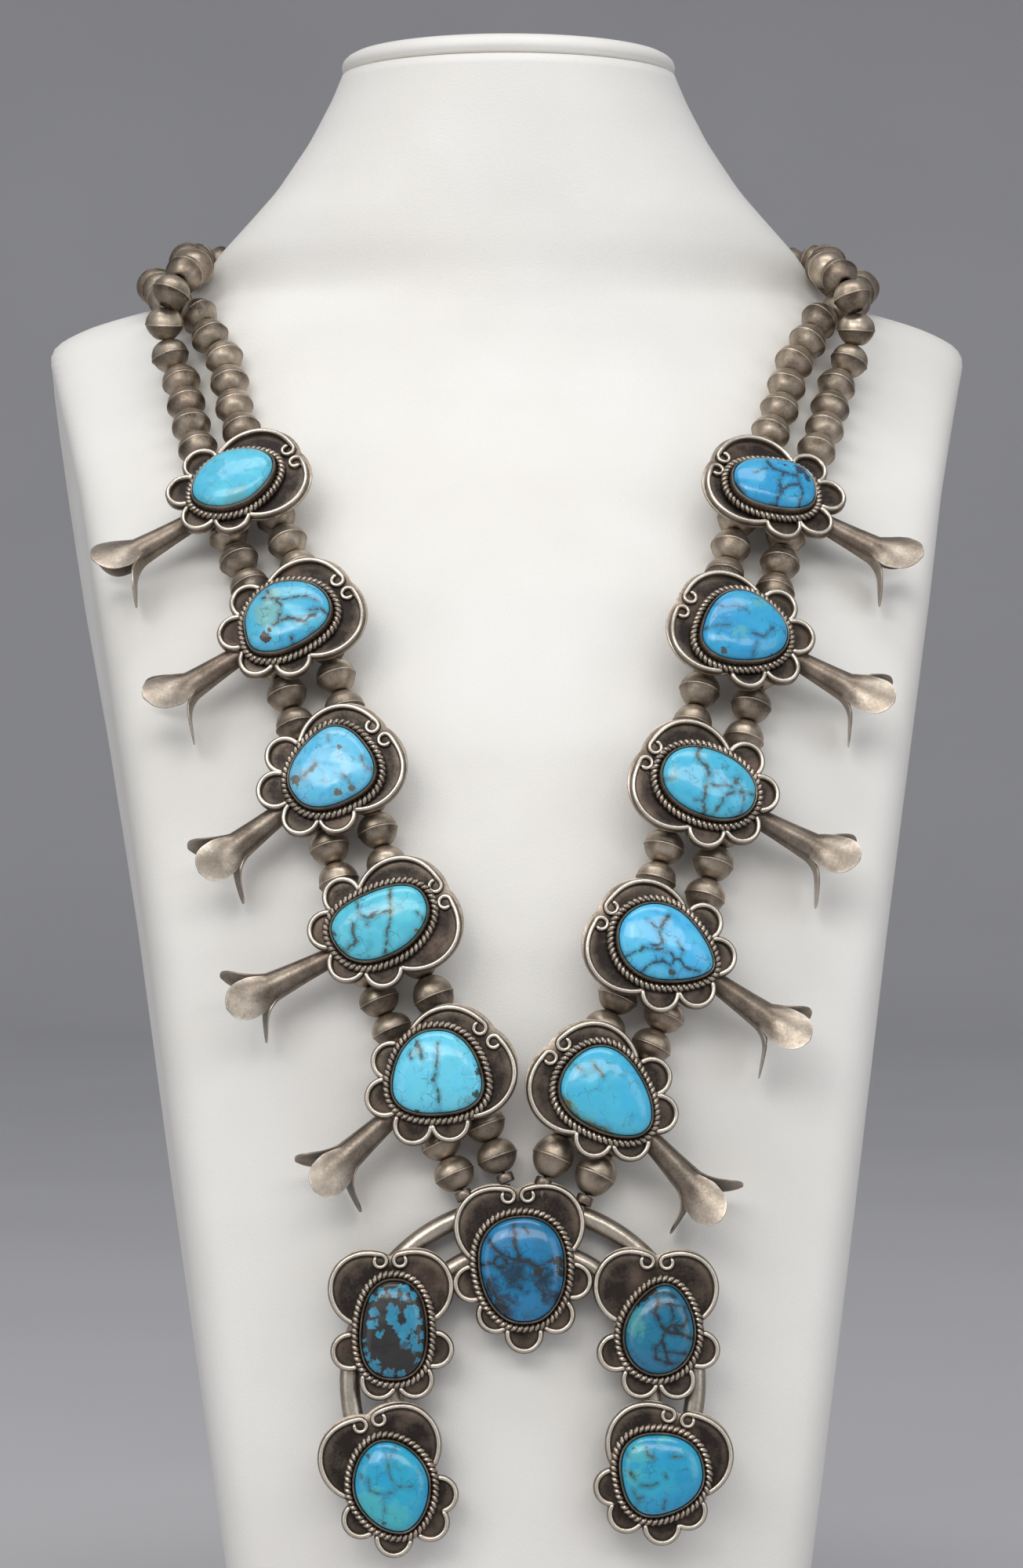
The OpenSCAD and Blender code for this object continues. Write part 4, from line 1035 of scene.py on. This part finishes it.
def make_blossom(name, metal, rng):
    curl, droop, stone, at = BLOSSOMS[name]
    side = -1 if name[0] == "l" else 1
    rows = LEFT_ROUTE if side < 0 else RIGHT_ROUTE
    k = int(name[1])
    origin, normal = row_point(rows[k], side), row_normal(rows[k], side)
    place = on_surface(origin + normal * PLATE_LIFT, normal, side > 0)
    piece = setting(stone, BLOSSOM_PLATE, BLOSSOM_SCALLOPS, curl, at)
    piece.take(trumpet(rng).placed(lambda p: turned(p + [TRUMPET_ROOT, 0, 0.2 - NECK_R], 180 + droop)))
    piece.placed(place)
    for layer in (-1, 1):
        knots = strand_knots(rows, side, layer)
        p, d = knots[k], unit(knots[k + 1] - knots[k - 1])
        tube(piece, p - d * TUBE_LEN / 2, p + d * TUBE_LEN / 2, TUBE_R, BLOSSOM_HOLE)
        rise = (origin - p) @ normal + PLATE_LIFT
        across = np.cross(normal, d)
        foot = []
        for low in (1.5, rise + 0.1):
            foot.append([p + d * a * TUBE_LEN / 2 + across * b * TUBE_R * 0.6 + normal * low
                         for a, b in ((-1, -1), (1, -1), (1, 1), (-1, 1))])
        piece.grid(np.array(foot), 0.3)
    made = piece.make("blossom_" + name, metal)
    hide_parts("blossom_" + name)
    return place, stone


def bar(piece, r):
    f = circle(20)
    rings = []
    for a in np.radians(np.linspace(MOUTH_HALF - 90, 270 - MOUTH_HALF, 150)):
        out = np.array([math.cos(a), math.sin(a), 0])
        rings.append([out * (r + math.cos(b) * BAR_D / 2) + [0, 0, math.sin(b) * BAR_D / 2] for b in f])
    piece.grid(np.array(rings), np.tile(0.35 + 0.4 * np.sin(f), len(rings)))


def make_naja(metal):
    tilt = math.radians(NAJA_LEAN)
    normal = np.array([0, -math.cos(tilt), math.sin(tilt)])
    place = on_surface(NAJA_CENTER, normal)
    piece = Piece()
    bar(piece, OUTER_BAR_R)
    bar(piece, INNER_BAR_R)
    lift = BAR_D / 2 - 0.2
    for at, curl, stone, plate, scallops in NAJA.values():
        part = setting(stone, plate, scallops, curl)
        piece.take(part.placed(lambda p: p + [at[0], at[1], lift]))
    piece.placed(place)
    for side, rows in ((-1, LEFT_ROUTE), (1, RIGHT_ROUTE)):
        for layer in (-1, 1):
            knots = strand_knots(rows, side, layer)
            p, d = knots[-1], unit(knots[-1] - knots[-2])
            tube(piece, p - d, p + d, TUBE_R, NAJA_HOLE)
            inward = NAJA_CENTER - p
            reach = np.linalg.norm(inward) - OUTER_BAR_R
            tube(piece, p + unit(inward) * 1.2, p + unit(inward) * reach, POST_R, worn=0.3)
    made = piece.make("naja", metal)
    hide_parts("naja")
    return place, lift


# Lights: name, place, target, width and height in m, watts, colour
LIGHTS = [
    ("key", (-0.6, -1.1, 1.0), (0, -0.02, 0.2), (0.8, 0.6), 5.2, (1, 0.985, 0.96)),
    ("front", (0.15, -1.45, 1.1), (0, -0.02, 0.15), (1.5, 0.4), 7, (1, 0.99, 0.975)),
    ("fill", (1.1, -0.9, 0.5), (0, 0, 0.2), (0.7, 0.9), 2.5, (0.96, 0.98, 1)),
    ("side", (-1.1, -0.8, 0.35), (0, 0, 0.16), (0.6, 0.7), 1.3, (0.98, 0.99, 1)),
    ("top", (-0.05, -0.32, 1.45), (0, -0.05, 0.2), (1.3, 0.45), 5.6, (1, 1, 1)),
]


def area_light(name, at, target, size, power, colour):
    data = bpy.data.lights.new(name, "AREA")
    data.shape, data.size, data.size_y = "RECTANGLE", *size
    data.energy, data.color = power, colour
    lamp = linked(name, data)
    lamp.location = at
    lamp.rotation_euler = (Vector(target) - Vector(at)).to_track_quat("-Z", "Y").to_euler()


def make_camera():
    data = bpy.data.cameras.new("camera")
    data.lens, data.clip_start, data.clip_end = LENS, 0.02, 30
    camera = linked("camera", data)
    camera.location = CAMERA_AT
    camera.rotation_euler = (math.radians(90), 0, math.radians(CAMERA_TURN))
    bpy.context.scene.camera = camera


def make_stage():
    world = bpy.data.worlds.new("studio")
    bpy.context.scene.world = world
    world.use_nodes = True
    back = world.node_tree.nodes["Background"]
    back.inputs[0].default_value = (0.86, 0.88, 0.92, 1)
    back.inputs[1].default_value = 0.44
    for light in LIGHTS:
        area_light(*light)
    g = Graph("floor")
    tone = g.mix(g.span(g.noise(300, 2), 0.3, 0.7), rgb("#c9c8ca"), rgb("#c4c3c6"))
    floor = g.finish(base_color=tone, roughness=0.8)
    profile = [(-FLOOR_HALF, 0), (WALL_FROM, 0)]
    for a in np.radians(np.linspace(5, 90, 18)):
        profile.append((WALL_FROM + WALL_BEND * math.sin(a), WALL_BEND * (1 - math.cos(a))))
    profile.append((WALL_FROM + WALL_BEND, WALL_TOP))
    points = [(x, y, z) for y, z in profile for x in (-FLOOR_HALF, FLOOR_HALF)]
    faces = [(2 * i, 2 * i + 1, 2 * i + 3, 2 * i + 2) for i in range(len(profile) - 1)]
    mesh = bpy.data.meshes.new("floor")
    mesh.from_pydata(points, [], faces)
    mesh.polygons.foreach_set("use_smooth", [True] * len(mesh.polygons))
    mesh.materials.append(floor)
    obj = linked("floor", mesh)


make_camera()
make_stage()
bpy.context.scene.view_settings.view_transform = "Standard"

cover = leatherette("bust_cover")
metal = silver("silver", "#261e1a", "#6f6459", "#a2978a", "#dad1c3")
bead_metal = silver("bead_silver", "#493f35", "#a19484", "#c4b6a4", "#eadfce")
make_bust(cover)
make_cap(cover)
rng = random.Random(7)
for half in ("outer_left", "inner_left", "outer_right", "inner_right"):
    make_beads(half, bead_metal, rng)
for node in ("thread_outer_left", "thread_inner_left", "thread_outer_right", "thread_inner_right", "clasp"):
    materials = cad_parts[node].data.materials
    materials.clear()
    materials.append(metal)

for seed, name in enumerate(BLOSSOMS, 1):
    place, stone = make_blossom(name, metal, rng)
    make_stone("stone_" + name, name, stone, place, seed)
naja_place, lift = make_naja(metal)
for seed, (name, (at, curl, stone, plate, scallops)) in enumerate(NAJA.items(), len(BLOSSOMS) + 1):
    make_stone("naja_stone_" + name, name, stone, lambda p: naja_place(p + [at[0], at[1], lift]), seed)
